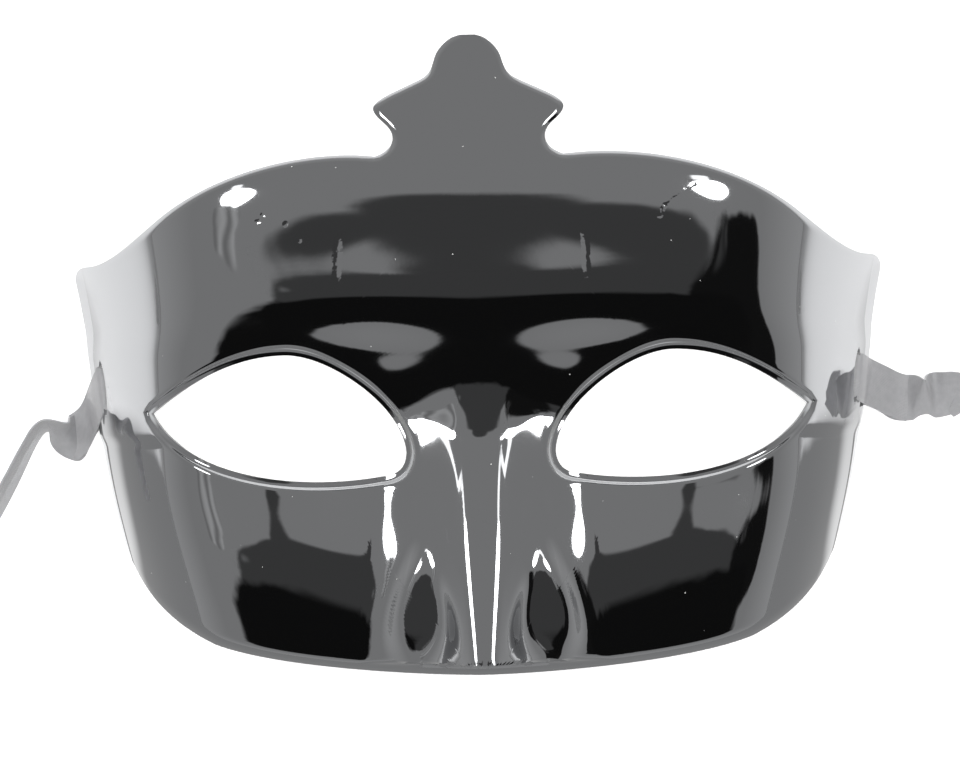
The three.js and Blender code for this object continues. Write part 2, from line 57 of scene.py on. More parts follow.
MIX_A, MIX_B, MIX_RESULT = 6, 7, 2  # the sockets of a Mix node that are colours


def linear(code: str) -> tuple[float, float, float, float]:
    """Turn an sRGB hex colour to linear RGBA.

    Args:
        code: The colour, such as "#c8c9cb".

    Returns:
        The linear red, green and blue, and an alpha of 1.
    """
    values = [int(code[i : i + 2], 16) / 255 for i in (1, 3, 5)]
    # the standard sRGB curve
    turned = [v / 12.92 if v <= 0.04045 else ((v + 0.055) / 1.055) ** 2.4 for v in values]
    return (turned[0], turned[1], turned[2], 1.0)


def add_node(
    tree: bpy.types.NodeTree,
    kind: str,
    settings: dict[str, object] | None = None,
    links: dict[str | int, object] | None = None,
) -> bpy.types.Node:
    """Add a node with its settings and its inputs.

    Args:
        tree: The node tree.
        kind: The node's type name.
        settings: Attributes of the node by name.
        links: Inputs by name or index, each an output socket or a plain value.

    Returns:
        The node.
    """
    node = tree.nodes.new(kind)
    for name, value in (settings or {}).items():
        setattr(node, name, value)
    for name, value in (links or {}).items():
        if isinstance(value, bpy.types.NodeSocket):
            tree.links.new(value, node.inputs[name])
        else:
            node.inputs[name].default_value = value
    return node


def empty_material(name: str) -> tuple[bpy.types.Material, bpy.types.NodeTree]:
    """Make a node material without nodes.

    Args:
        name: What the material is called.

    Returns:
        The material and its tree.
    """
    material = bpy.data.materials.new(name)
    material.use_nodes = True
    material.node_tree.nodes.clear()
    return material, material.node_tree


def new_material(
    name: str, values: dict[str, object] | None = None
) -> tuple[bpy.types.Material, bpy.types.NodeTree, bpy.types.Node]:
    """Make a material with one shader.

    Args:
        name: What the real material is called.
        values: Plain inputs of the shader by name.

    Returns:
        The material, its tree and its Principled shader, already joined to the output.
    """
    material, tree = empty_material(name)
    shader = add_node(tree, "ShaderNodeBsdfPrincipled", links=values)
    add_node(tree, "ShaderNodeOutputMaterial", links={"Surface": shader.outputs[0]})
    return material, tree, shader


def deselect_all() -> None:
    if bpy.context.object and bpy.context.object.mode != "OBJECT":
        bpy.ops.object.mode_set(mode="OBJECT")
    bpy.ops.object.select_all(action="DESELECT")


def take(piece: bpy.types.Object) -> None:
    """Make a piece the only selected and the active one.

    Args:
        piece: The piece.
    """
    deselect_all()
    piece.select_set(True)
    bpy.context.view_layer.objects.active = piece


def finish_modifier(
    piece: bpy.types.Object, name: str, kind: str, settings: dict[str, object]
) -> None:
    """Add a modifier and apply it.

    Args:
        piece: The piece.
        name: The modifier's name.
        kind: Its type.
        settings: Its attributes by name.
    """
    take(piece)
    modifier = piece.modifiers.new(name, kind)
    for key, value in settings.items():
        setattr(modifier, key, value)
    bpy.ops.object.modifier_apply(modifier=modifier.name)


def grid_piece(name: str, places: np.ndarray) -> bpy.types.Object:
    """Make a primitive grid and shape it to rows of places.

    Args:
        name: The piece's name.
        places: Points as an array of rows by columns by three, in millimetres on the plan.

    Returns:
        The piece, with its place in its mesh, in metres.
    """
    rows, columns = places.shape[0] - 1, places.shape[1] - 1
    deselect_all()
    bpy.ops.mesh.primitive_grid_add(x_subdivisions=columns, y_subdivisions=rows, size=2)
    piece = bpy.context.object
    piece.name = piece.data.name = name
    flat = np.empty(len(piece.data.vertices) * 3)
    piece.data.vertices.foreach_get("co", flat)
    flat = flat.reshape(-1, 3)
    column = np.rint((flat[:, 0] + 1) / 2 * columns).astype(int)
    row = np.rint((flat[:, 1] + 1) / 2 * rows).astype(int)
    moved = places[row, column] + np.array([0, PLAN_TO_FRAME_Y, 0])
    piece.data.vertices.foreach_set("co", (moved * MM).ravel())
    piece.data.update()
    return piece


def smooth(low: float, high: float, at: np.ndarray | float) -> np.ndarray:
    """Rise smoothly from 0 at low to 1 at high."""
    share = np.clip((np.asarray(at, float) - low) / (high - low), 0, 1)
    return share * share * (3 - 2 * share)


def bell(at: np.ndarray | float) -> np.ndarray:
    """A rounded hump, 1 at 0."""
    return np.exp(-np.square(at))


def mixed(a: np.ndarray, b: np.ndarray, share: np.ndarray | float) -> np.ndarray:
    """Blend from a to b."""
    return a + (b - a) * share


def unit(vector: np.ndarray) -> np.ndarray:
    """Give vectors the length 1, along their last axis."""
    return vector / np.maximum(np.linalg.norm(vector, axis=-1, keepdims=True), TINY)


class Spline:
    """A natural cubic spline through knots, straight beyond its ends."""

    def __init__(self, knots: list[float] | np.ndarray, values: list | np.ndarray) -> None:
        """Fit the curve.

        Args:
            knots: Rising places.
            values: A number or a vector at each place.
        """
        self.knots = np.asarray(knots, float)
        self.values = np.asarray(values, float)
        count = len(self.knots)
        spans = np.diff(self.knots)
        shape = (slice(None),) + (None,) * (self.values.ndim - 1)
        rises = np.diff(self.values, axis=0) / spans[shape]
        system = np.eye(count)
        right = np.zeros_like(self.values)
        for i in range(1, count - 1):
            system[i, i - 1 : i + 2] = spans[i - 1], 2 * (spans[i - 1] + spans[i]), spans[i]
            right[i] = 6 * (rises[i] - rises[i - 1])
        self.bends = np.linalg.solve(system, right.reshape(count, -1)).reshape(self.values.shape)

    def __call__(self, at: np.ndarray | float) -> np.ndarray:
        """Find the curve at places.

        Args:
            at: The places.

        Returns:
            The value at each.
        """
        at = np.asarray(at, float)
        inside = np.clip(at, self.knots[0], self.knots[-1])
        i = np.clip(np.searchsorted(self.knots, inside, side="right") - 1, 0, len(self.knots) - 2)
        span = self.knots[i + 1] - self.knots[i]
        wide = (...,) + (None,) * (self.values.ndim - 1)
        a = ((self.knots[i + 1] - inside) / span)[wide]
        b = 1 - a
        bend = (a**3 - a) * self.bends[i] + (b**3 - b) * self.bends[i + 1]
        found = a * self.values[i] + b * self.values[i + 1] + bend * (span**2)[wide] / 6
        rise = (self.values[i + 1] - self.values[i]) / span[wide]
        slope = rise + span[wide] / 6 * (
            (1 - 3 * a**2) * self.bends[i] + (3 * b**2 - 1) * self.bends[i + 1]
        )
        return found + slope * (at - inside)[wide]


def bezier(points: list[np.ndarray], steps: int) -> np.ndarray:
    """Points of a cubic curve, with both its ends.

    Args:
        points: Its start, two handles and end.
        steps: How many pieces it is cut into.

    Returns:
        An array of steps + 1 points.
    """
    t = np.linspace(0, 1, steps + 1)[:, None]
    a, b, c, d = points
    return (1 - t) ** 3 * a + 3 * (1 - t) ** 2 * t * b + 3 * (1 - t) * t**2 * c + t**3 * d


@dataclass(frozen=True)
class EdgeCurve:
    """One cubic curve of the trimmed edge, in shares of half the width and of the body height.

    Without handles it follows the side of the sheet's own form.
    """

    to: tuple[float, float]
    roll: tuple[float, float]  # width and drop of the rounded edge at its end, in mm
    steps: int
    handles: tuple[tuple[float, float], tuple[float, float]] | None = None


@dataclass
class FormedSheet:
    """The front of the formed sheet as a height over the table, with the mould's own sizes."""

    mask_width: float = 176
    body_height: float = 106
    face_depth: float = 47
    edge_lift: float = 2.4  # of the side edge over the table, where the ribbon runs out
    # shares of the body height at which the lift starts, is full, falls and ends
    lift: tuple[float, float, float, float] = (0.445, 0.475, 0.62, 0.69)
    eye_width: float = 52.8
    eye_height: float = 25.8
    eye_spacing: float = 83.4
    eye_bottom: float = 40.2
    socket_depth: float = 4.2
    socket_reach: float = 9.5
    socket_under: float = 0.25  # share of the depth that is left under an eye
    socket_rise: tuple[float, float] = (-0.7, 1.0)  # where it deepens, in half eye heights
    socket_fade: tuple[float, float] = (0.1, 1.1)  # where it ends outwards, in half eye widths
    socket_round: float = 5  # of the fold where the two sockets meet
    brow_rise: float = 2.6
    brow_level: float = 77
    brow_spread: float = 10
    brow_fall: float = 9  # of the arch, at brow_arch eye spacings from the middle
    brow_arch: float = 0.62
    brow_fade: tuple[float, float] = (0.45, 0.85)  # where it ends outwards, in eye spacings
    nose_root: float = 48.5
    nose_tip: float = 3.8
    nose_rise: float = 15
    nose_flange: float = 2.6
    bridge_sink: float = 4.7  # how far the sheet sinks from the bridge to the eye holes
    sink_top: tuple[float, float] = (66, 52)  # levels between which that sinking begins
    sink_foot: tuple[float, float] = (6, 48)  # levels between which it ends downwards
    sink_side: tuple[float, float] = (17, 46)  # distances between which it ends outwards
    root_climb: float = 0.6  # how much higher the flanks begin than the bridge, as a slope
    root_shoulder: float = 5
    root_round: float = 0.018  # how softly the bridge begins, as a share of its length
    ridge_start: float = 0.2  # share of the nose by which its ridge is straight
    ridge_root: float = 4.4  # half the flat top of the bridge
    ridge_tip: float = 2.2
    ridge_round: float = 1.0
    tip_round: float = 0.5
    middle_round: float = 1.0  # of the kink that a form by distance has at the middle
    crease_root: float = 20.5  # from the middle to the crease along the cheek
    crease_tip: float = 25.5
    flank_hollow: float = 1.4  # 1 is a straight flank
    wing_rise: float = 0.2  # of the flat facet over the flank
    wing_middle: float = 12.7
    wing_width: float = 15
    wing_narrow: float = 0.42  # width of a wing's top, as a share of its foot's
    wing_border: tuple[float, float] = (0.62, 1.38)  # from facet to flank, in half widths
    wing_top: float = 25
    wing_foot: float = 4.4
    wing_slope: float = 0.14  # of the facet, down outwards
    wing_pitch: float = 0.11  # of the facet, up the face
    cheek_rise: float = 2
    relief_start: float = 0.5  # share of the arch's height by which the relief is full
    # share of the height: share of half the width, share of the depth, boxiness of the arch
    sections: tuple[tuple[float, float, float, float], ...] = (
        (0.0, 0.815, 0.88, 4.4),
        (0.12, 0.85, 0.92, 4.6),
        (0.254, 0.89, 0.94, 4.7),
        (0.36, 0.92, 0.93, 4.5),
        (0.56, 0.957, 0.945, 3.4),
        (0.786, 1.0, 0.995, 2.8),
        (0.89, 1.028, 1.0, 2.6),
        (0.945, 1.04, 0.983, 2.5),
        (1.0, 1.05, 0.937, 2.4),
    )

    def __post_init__(self) -> None:
        """Fit the columns of the sections."""
        table = np.array(self.sections)
        self.half_share, self.crest_share, self.squareness = (
            Spline(table[:, 0], table[:, k]) for k in (1, 2, 3)
        )

    @property
    def eye_middle(self) -> float:
        """Distance of an eye hole's middle from the middle of the face."""
        return self.eye_spacing / 2

    @property
    def eye_level(self) -> float:
        """Height of the eye holes' middle on the plan."""
        return self.eye_bottom + self.eye_height / 2

    def half_width(self, y: np.ndarray | float) -> np.ndarray:
        """Half the width of the sheet at a level."""
        return self.mask_width / 2 * self.half_share(np.asarray(y) / self.body_height)

    def lifted_edge(self, y: np.ndarray) -> np.ndarray:
        """How far the side edge stands clear of the table.

        Args:
            y: Levels on the plan.

        Returns:
            The lift at each level.
        """
        starts, full, falls, ends = self.lift
        at = y / self.body_height
        return self.edge_lift * smooth(starts, full, at) * (1 - smooth(falls, ends, at))

    def brow(self, x: np.ndarray, y: np.ndarray) -> np.ndarray:
        """The arched swelling over the two eyes and the root of the nose.

        Args:
            x: Places across the face.
            y: Places up the face.

        Returns:
            How far it raises the sheet.
        """
        level = self.brow_level - self.brow_fall * (x / (self.eye_spacing * self.brow_arch)) ** 2
        starts, ends = (self.eye_spacing * share for share in self.brow_fade)
        fade = 1 - smooth(starts, ends, np.abs(x))
        return self.brow_rise * fade * bell((y - level) / self.brow_spread)

    def socket(self, x: np.ndarray, y: np.ndarray) -> np.ndarray:
        """The hollows round the eyes.

        Args:
            x: Places across the face.
            y: Places up the face.

        Returns:
            How deep they sink the sheet.
        """
        across = (np.hypot(x, self.socket_round) - self.eye_middle) / (self.eye_width / 2)
        up = (y - self.eye_level) / (self.eye_height / 2)
        away = np.maximum(np.hypot(across, up) - 1, 0) * (self.eye_height / 2)
        under = mixed(self.socket_under, 1, smooth(*self.socket_rise, up))
        inside = 1 - smooth(*self.socket_fade, across)
        return self.socket_depth * under * inside * bell(away / self.socket_reach)

    def nose(self, x: np.ndarray, y: np.ndarray) -> np.ndarray:
        """The nose: a flat-topped bridge, flanks down to a crease, wings and an end wall.

        Args:
            x: Places across the face.
            y: Places up the face.

        Returns:
            How far it raises the sheet, or below 0 how far the sheet sinks beside it.
        """
        beside_middle = np.hypot(x, self.middle_round)
        past_bridge = np.maximum(np.abs(x) - self.ridge_root, 0)
        starts = self.nose_root + np.minimum(self.root_climb * past_bridge, self.root_shoulder)
        along = (starts - y) / (starts - self.nose_tip)
        rise = self.nose_rise * (along + np.hypot(along, self.root_round)) / 2
        end = smooth(self.nose_flange, self.nose_tip, y)
        reach = np.clip(along, 0, 1)
        top = mixed(self.ridge_root, self.ridge_tip, reach)
        crease = mixed(self.crease_root, self.crease_tip, reach)
        rounding = mixed(self.ridge_round, self.tip_round, reach)
        root, here = (self.crest_share(v / self.body_height) for v in (self.nose_root, y))
        high = rise + self.face_depth * (root - here) * smooth(0, self.ridge_start, along)

        def flank(beside: np.ndarray | float) -> np.ndarray:
            """Share of the ridge's height that is left, at distances from the middle."""
            past = rounding * np.logaddexp(0, (beside - top) / rounding)
            return (1 - np.clip(past / (crease - top), 0, 1)) ** self.flank_hollow

        from_wing = np.abs(x) - self.wing_middle
        down = (self.wing_top - y) / (self.wing_top - self.wing_foot)
        half = self.wing_width / 2 * mixed(self.wing_narrow, 1, np.clip(down, 0, 1))
        inside = 1 - smooth(*self.wing_border, np.hypot(from_wing / half, 2 * down - 1))
        wing = high * flank(self.wing_middle) + self.wing_rise - self.wing_slope * from_wing
        wing = wing + self.wing_pitch * (y - (self.wing_top + self.wing_foot) / 2)
        near_bridge = smooth(*self.sink_top, y) * smooth(*self.sink_foot, y)
        near_bridge = near_bridge * (1 - smooth(*self.sink_side, np.abs(x)))
        sunk = self.bridge_sink * (1 - flank(beside_middle)) * near_bridge
        return end * mixed(high * flank(beside_middle), wing, inside) - sunk

    def cheek(self, x: np.ndarray, y: np.ndarray) -> np.ndarray:
        """The swelling between an eye and the lower edge.

        Args:
            x: Places across the face.
            y: Places up the face.

        Returns:
            How far it raises the sheet.
        """
        across = (np.abs(x) - self.eye_middle) / (self.eye_width / 2)
        up = (y - self.eye_bottom / 2) / (self.eye_bottom / 2)
        return self.cheek_rise * bell(np.hypot(across, up))

    def height(self, x: np.ndarray, y: np.ndarray) -> np.ndarray:
        """Height of the sheet's front over the table.

        Args:
            x: Places across the face.
            y: Places up the face.

        Returns:
            The heights.
        """
        at = y / self.body_height
        across = np.abs(x) / self.half_width(y)
        lift = self.lifted_edge(y)
        arch = np.cos(across ** self.squareness(at) * math.pi / 2)
        form = lift + (self.face_depth * self.crest_share(at) - lift) * arch
        relief = self.brow(x, y) - self.socket(x, y) + self.nose(x, y) + self.cheek(x, y)
        return form + relief * smooth(0, self.relief_start, arch)

    def on(self, plan: np.ndarray, drop: np.ndarray | float = 0) -> np.ndarray:
        """Put plan points on the sheet.

        Args:
            plan: Points on the plan, two to a row.
            drop: How far each is sunk.

        Returns:
            The points with their heights.
        """
        x, y = plan[..., 0], plan[..., 1]
        return np.stack([x, y, self.height(x, y) - drop], axis=-1)


@dataclass
class SlitPlace:
    """A slit on the right side of the sheet: its place, its own directions and its sizes."""

    edge: np.ndarray
    middle: np.ndarray
    along: np.ndarray
    outward: np.ndarray
    up: np.ndarray
    out: np.ndarray
    setback: float
    width: float
    wall: float


@dataclass
class MaskShell:
    """The mirror-finished mask itself: one thin formed sheet, trimmed and slit."""

    sheet: FormedSheet = field(default_factory=FormedSheet)
    wall: float = 0.6
    crown_rise: float = 25.8
    crown_width: float = 39
    crown_shift: float = -1.4
    crown_roll: float = 0.7
    crown_roll_width: float = 1.4
    crown_fade: float = 0.25  # of the crown's rounding at its top, as a share of its width
    crown_rows: int = 78
    # the stepped rim of an eye hole: distance from the trimmed edge, and drop
    rim_profile: tuple[tuple[float, float], ...] = (
        (0.0, 1.12),
        (0.3, 1.1),
        (0.6, 1.1),
        (0.85, 1.08),
        (1.0, 1.0),
        (1.15, 0.86),
        (1.35, 0.6),
        (1.55, 0.33),
        (1.75, 0.13),
        (1.95, 0.03),
        (2.2, 0.0),
    )
    slit_level: float = 59.5
    slit_setback: float = 8.9
    slit_length: float = 12.4
    slit_width: float = 4.4
    slit_corners: int = 40
    slit_point: float = 1.25  # 1 is an ellipse, over it the ends are pointed
    cutter_depth: float = 6
    rings: int = 38
    crowding: float = 1.25  # of the rings towards the eye hole's rim
    edge_rings: int = 9
    edge_crowding: float = 0.8
    # how far in the edge's own rings begin: under the nose, on the cheeks, at the middle line,
    # and at the least, with how fast it grows from there
    nose_inset: float = 4.4
    cheek_inset: float = 0.9
    middle_inset: float = 0.3
    least_inset: float = 0.06
    inset_slope: float = 0.5
    foot_slope: float = 0.25
    cheek_run: tuple[float, float] = (18, 34)  # along the edge, from the nose to the cheek
    crown_columns: int = 22
    midline_steps: int = 88
    flange_steps: int = 8
    edge_detail: int = 5
    eye_steps: int = 120
    merge_distance: float = 0.02
    smooth_angle: float = 38
    # share of the crown's rise, share of half its width
    crown_outline: tuple[tuple[float, float], ...] = (
        (0.0, 0.98),
        (0.05, 0.86),
        (0.12, 0.8),
        (0.2, 0.81),
        (0.27, 0.88),
        (0.34, 0.97),
        (0.4, 1.0),
        (0.46, 0.94),
        (0.53, 0.78),
        (0.61, 0.56),
        (0.68, 0.42),
        (0.76, 0.37),
        (0.85, 0.33),
        (0.93, 0.25),
        (0.98, 0.16),
        (1.0, 0.08),
    )
    edge_curves: tuple[EdgeCurve, ...] = (
        EdgeCurve((0.725, 0.903), (1.4, 0.7), 9, ((0.375, 1.016), (0.57, 0.984))),
        EdgeCurve((0.954, 0.813), (1.2, 0.3), 5, ((0.795, 0.866), (0.87, 0.809))),
        EdgeCurve((1.0, 0.788), (1.0, 0.0), 3, ((0.984, 0.815), (1.0, 0.808))),
        EdgeCurve((0.939, 0.445), (1.2, 0.0), 8),
        EdgeCurve((0.936, 0.43), (1.2, 0.0), 1),
        EdgeCurve((0.89, 0.254), (1.6, 0.0), 5),
        EdgeCurve((0.625, 0.065), (2.6, 2.6), 8, ((0.867, 0.188), (0.767, 0.115))),
        EdgeCurve((0.0, 0.0), (2.6, 2.4), 13, ((0.455, 0.022), (0.17, 0.002))),
    )
    eye_start: tuple[float, float] = (1, 0.558)
    eye_curves: tuple[tuple[tuple[float, float], ...], ...] = (
        ((0.812, 0.826), (0.656, 1), (0.461, 1)),
        ((0.285, 1), (0.012, 0.57), (0, 0.221)),
        ((0, 0.105), (0.031, 0.031), (0.1, 0.027)),
        ((0.383, -0.065), (0.832, 0.015), (1, 0.558)),
    )

    def eye_outline(self) -> tuple[np.ndarray, list[int]]:
        """The right eye hole's outline, counter-clockwise from its outer corner.

        Returns:
            The points, and the places of the corners among them.
        """
        s = self.sheet
        size = np.array([s.eye_width, s.eye_height])
        corner = np.array([s.eye_middle - s.eye_width / 2, s.eye_bottom])
        start = corner + np.array(self.eye_start) * size
        runs = []
        for curve in self.eye_curves:
            points = [start, *(corner + np.array(p) * size for p in curve)]
            runs.append(bezier(points, self.eye_steps)[:-1])
            start = points[-1]
        return np.concatenate(runs), [0, 2 * self.eye_steps, 3 * self.eye_steps]

    def crown_half(self, half: np.ndarray | float, side: int) -> np.ndarray:
        """Reach of the crown to one side of the middle."""
        return self.crown_width / 2 * np.asarray(half) + side * self.crown_shift

    def trimmed_edge(self, side: int) -> tuple[np.ndarray, np.ndarray]:
        """The trimmed edge of one side, from the crown's foot to the middle of the lower edge.

        Args:
            side: 1 on the right and -1 on the left.

        Returns:
            The points on the plan, and the width and drop of the rounded edge at each.
        """
        s = self.sheet
        scale = np.array([s.mask_width / 2, s.body_height])
        start = np.array([self.crown_half(self.crown_outline[0][1], side), s.body_height])
        start_roll = np.array([self.crown_roll_width, self.crown_roll])
        points, rolls = [start[None]], [start_roll[None]]
        for curve in self.edge_curves:
            end = np.array(curve.to) * scale
            steps = curve.steps * self.edge_detail
            share = np.linspace(0, 1, steps + 1)[1:]
            if curve.handles:
                handles = [np.array(h) * scale for h in curve.handles]
                points.append(bezier([start, *handles, end], steps)[1:])
            else:
                y = mixed(start[1], end[1], share)
                points.append(np.stack([s.half_width(y), y], axis=1))
            rolls.append(mixed(start_roll, np.array(curve.roll), smooth(0, 1, share)[:, None]))
            start, start_roll = end, np.array(curve.roll)
        return np.concatenate(points), np.concatenate(rolls)

    def edge_inset(self, run: np.ndarray) -> np.ndarray:
        """How far in the edge's own rings begin, at runs from the middle of the lower edge."""
        near_nose = np.minimum(self.nose_inset, self.least_inset + self.inset_slope * run)
        return mixed(near_nose, self.cheek_inset, smooth(*self.cheek_run, run))

    def half_loop(self, side: int) -> tuple[np.ndarray, np.ndarray]:
        """The loop round one half of the sheet, counter-clockwise from the crown's base.

        Args:
            side: 1 on the right and -1 on the left.

        Returns:
            The points, and the same points moved in a little.
        """
        s = self.sheet
        edge = self.trimmed_edge(side)[0][::-1]
        down = mixed(s.body_height, s.nose_tip, np.linspace(0, 1, self.midline_steps + 1))
        flange = np.linspace(s.nose_tip, 0, self.flange_steps + 1)[1:-1]
        middle = np.concatenate([down, flange])
        foot = edge[-1]
        base = foot[0] * np.arange(self.crown_columns - 1, 0, -1) / self.crown_columns
        loop = np.concatenate(
            [
                np.stack([np.zeros_like(middle), middle], axis=1),
                edge,
                np.stack([base, np.full_like(base, foot[1])], axis=1),
            ]
        )
        run = np.concatenate([[0], np.cumsum(np.linalg.norm(np.diff(edge, axis=0), axis=1))])
        inset = np.concatenate(
            [
                np.minimum(self.middle_inset, self.least_inset + self.inset_slope * middle),
                np.minimum(
                    self.edge_inset(run), self.middle_inset + self.foot_slope * (run[-1] - run)
                ),
                np.full(len(base), self.middle_inset),
            ]
        )
        ahead = unit(np.roll(loop, -1, 0) - np.roll(loop, 1, 0))
        inward = np.stack([-ahead[:, 1], ahead[:, 0]], axis=1)
        return loop, loop + inward * inset[:, None]

    def eye_points(self, loop: np.ndarray) -> np.ndarray:
        """The points of the eye's outline that face the points of the loop.

        Args:
            loop: Points on the plan round one half of the sheet.

        Returns:
            A point of the outline for each, with the eye hole's corners kept.
        """
        s = self.sheet
        outline, corners = self.eye_outline()

        def angle(p: np.ndarray) -> np.ndarray:
            """Find directions from the eye's middle, on a plan where the eye is round.

            Args:
                p: The points.

            Returns:
                An angle for each.
            """
            return np.arctan2(
                (p[:, 1] - s.eye_level) / s.eye_height, (p[:, 0] - s.eye_middle) / s.eye_width
            )

        turned = angle(outline)
        order = np.argsort(turned)
        target = angle(loop)
        hole = np.stack(
            [
                np.interp(target, turned[order], outline[order, k], period=2 * math.pi)
                for k in (0, 1)
            ],
            axis=1,
        )
        for corner in corners:
            nearest = np.argmin(np.linalg.norm(hole - outline[corner], axis=1))
            hole[nearest] = outline[corner]
        return hole

    def half_places(self, side: int) -> np.ndarray:
        """Places of one half of the sheet, from the eye hole's rim out to the trimmed edge.

        Args:
            side: 1 on the right and -1 on the left.

        Returns:
            Points as an array of spokes by rings by three, closed round the eye.
        """
        loop, fold = self.half_loop(side)
        hole = self.eye_points(loop)
        ahead = np.roll(hole, -1, 0) - np.roll(hole, 1, 0)
        outward = unit(np.stack([ahead[:, 1], -ahead[:, 0]], axis=1))
        spokes, drops = [], []
        for out, drop in self.rim_profile:
            spokes.append(hole + outward * out)
            drops.append(drop)
        rim = spokes[-1]
        for k in range(1, self.rings):
            spokes.append(mixed(rim, fold, 1 - (1 - k / self.rings) ** self.crowding))
        for t in np.linspace(0, 1, self.edge_rings + 1) ** self.edge_crowding:
            spokes.append(mixed(fold, loop, t))
        drops += [0.0] * (len(spokes) - len(drops))
        plan = np.stack(spokes, axis=1)
        plan = np.concatenate([plan, plan[:1]])
        turned = plan * [side, 1]
        return self.sheet.on(plan, np.array(drops) + self.edge_drop(turned))

    def crown_places(self) -> np.ndarray:
        """Places of the crown.

        Returns:
            Points as an array of rows from the base up by columns by three.
        """
        s = self.sheet
        columns = np.arange(-self.crown_columns, self.crown_columns + 1)
        rows = []
        for up, half in self.crown_curve():
            reach = np.where(columns < 0, self.crown_half(half, -1), self.crown_half(half, 1))
            x = reach * columns / self.crown_columns
            rows.append(np.stack([x, np.full_like(x, s.body_height + up * self.crown_rise)], 1))
        plan = np.stack(rows)
        return s.on(plan, self.edge_drop(plan))

    def crown_curve(self) -> np.ndarray:
        """The crown's outline, evenly spaced.

        Returns:
            Its points, as shares of the crown's rise and of half its width.
        """
        table = np.array(self.crown_outline)
        chord = np.hypot(*(np.diff(table, axis=0) * [self.crown_rise, self.crown_width / 2]).T)
        run = np.concatenate([[0], np.cumsum(chord)])
        return Spline(run, table)(np.linspace(0, run[-1], self.crown_rows))

    def edge_drop(self, plan: np.ndarray) -> np.ndarray:
        """How far the rounded outer edge sinks the sheet.

        Args:
            plan: Points on the plan.

        Returns:
            The drop at each point, from the nearest place on the trimmed edge.
        """
        runs = []
        for side in (1, -1):
            points, rolls = self.trimmed_edge(side)
            runs.append((points * [side, 1], rolls))
            curve = self.crown_curve()
            reach = self.crown_half(curve[:, 1], side)
            points = np.stack(
                [side * reach, self.sheet.body_height + curve[:, 0] * self.crown_rise], axis=1
            )
            rounded = np.minimum(1, reach / (self.crown_fade * self.crown_width))
            rolls = np.stack(
                [np.full_like(reach, self.crown_roll_width), self.crown_roll * rounded], axis=1
            )
            runs.append((points, rolls))
        start = np.concatenate([p[:-1] for p, _ in runs])
        end = np.concatenate([p[1:] for p, _ in runs])
        roll = np.concatenate([r[:-1] for _, r in runs])
        roll_end = np.concatenate([r[1:] for _, r in runs])
        along = end - start
        square = np.maximum((along**2).sum(1), TINY)
        flat = plan.reshape(-1, 2)
        drop = np.zeros(len(flat))
        at_once = 2000  # points, to spare memory
        for chunk in np.array_split(np.arange(len(flat)), max(len(flat) // at_once, 1)):
            way = flat[chunk][:, None] - start[None]
            share = np.clip((way * along[None]).sum(2) / square[None], 0, 1)
            gap = np.linalg.norm(way - share[..., None] * along[None], axis=2)
            near = gap.argmin(axis=1)
            pick = np.arange(len(chunk))
            width, depth = mixed(roll[near], roll_end[near], share[pick, near][:, None]).T
            drop[chunk] = depth * np.clip(1 - gap[pick, near] / width, 0, 1) ** 2
        return drop.reshape(plan.shape[:-1])

    def slit_place(self) -> SlitPlace:
        """Find the right slit's middle and its directions.

        Returns:
            The slit's place.
        """
        s = self.sheet
        step, search = 0.01, 20
        above, below = (s.half_width(self.slit_level + way) for way in (step, -step))
        slope = (above - below) / (2 * step)
        along = unit(np.array([float(slope), 1, 0]))
        outward = np.array([along[1], -along[0], 0])
        edge = s.on(np.array([float(s.half_width(self.slit_level)), self.slit_level]))
        run = np.arange(0, search, step)[:, None]
        path = s.on(edge[:2] - outward[:2] * run)
        climb = np.concatenate([[0], np.cumsum(np.linalg.norm(np.diff(path, axis=0), axis=1))])
        place = int(np.searchsorted(climb, self.slit_setback))
        up = unit(path[place] - path[place - 1])
        return SlitPlace(
            edge,
            middle=path[place],
            along=along,
            outward=outward,
            up=up,
            out=unit(np.cross(along, up)),
            setback=self.slit_setback,
            width=self.slit_width,
            wall=self.wall,
        )

    def slit_cutter(self, side: int) -> bpy.types.Object:
        """A pointed oval prism square to the sheet, for one slit.

        Args:
            side: 1 on the right and -1 on the left.

        Returns:
            The cutter, which is removed after the cut.
        """
        place = self.slit_place()
        deselect_all()
        bpy.ops.mesh.primitive_cylinder_add(
            vertices=self.slit_corners, radius=1, depth=self.cutter_depth * MM
        )
        cutter = bpy.context.object
        for vertex in cutter.data.vertices:
            turn = math.atan2(vertex.co.y, vertex.co.x)
            across = math.copysign(abs(math.sin(turn)) ** self.slit_point, math.sin(turn))
            vertex.co.x = math.cos(turn) * self.slit_length / 2 * MM
            vertex.co.y = across * self.slit_width / 2 * MM
        basis = Matrix([place.along, place.up, place.out]).transposed().to_4x4()
        middle = Vector((place.middle + [0, PLAN_TO_FRAME_Y, 0]) * MM)
        cutter.data.transform(Matrix.Translation(middle) @ basis)
        if side < 0:
            cutter.data.transform(Matrix.Scale(-1, 4, (1, 0, 0)))
            cutter.data.flip_normals()
        return cutter

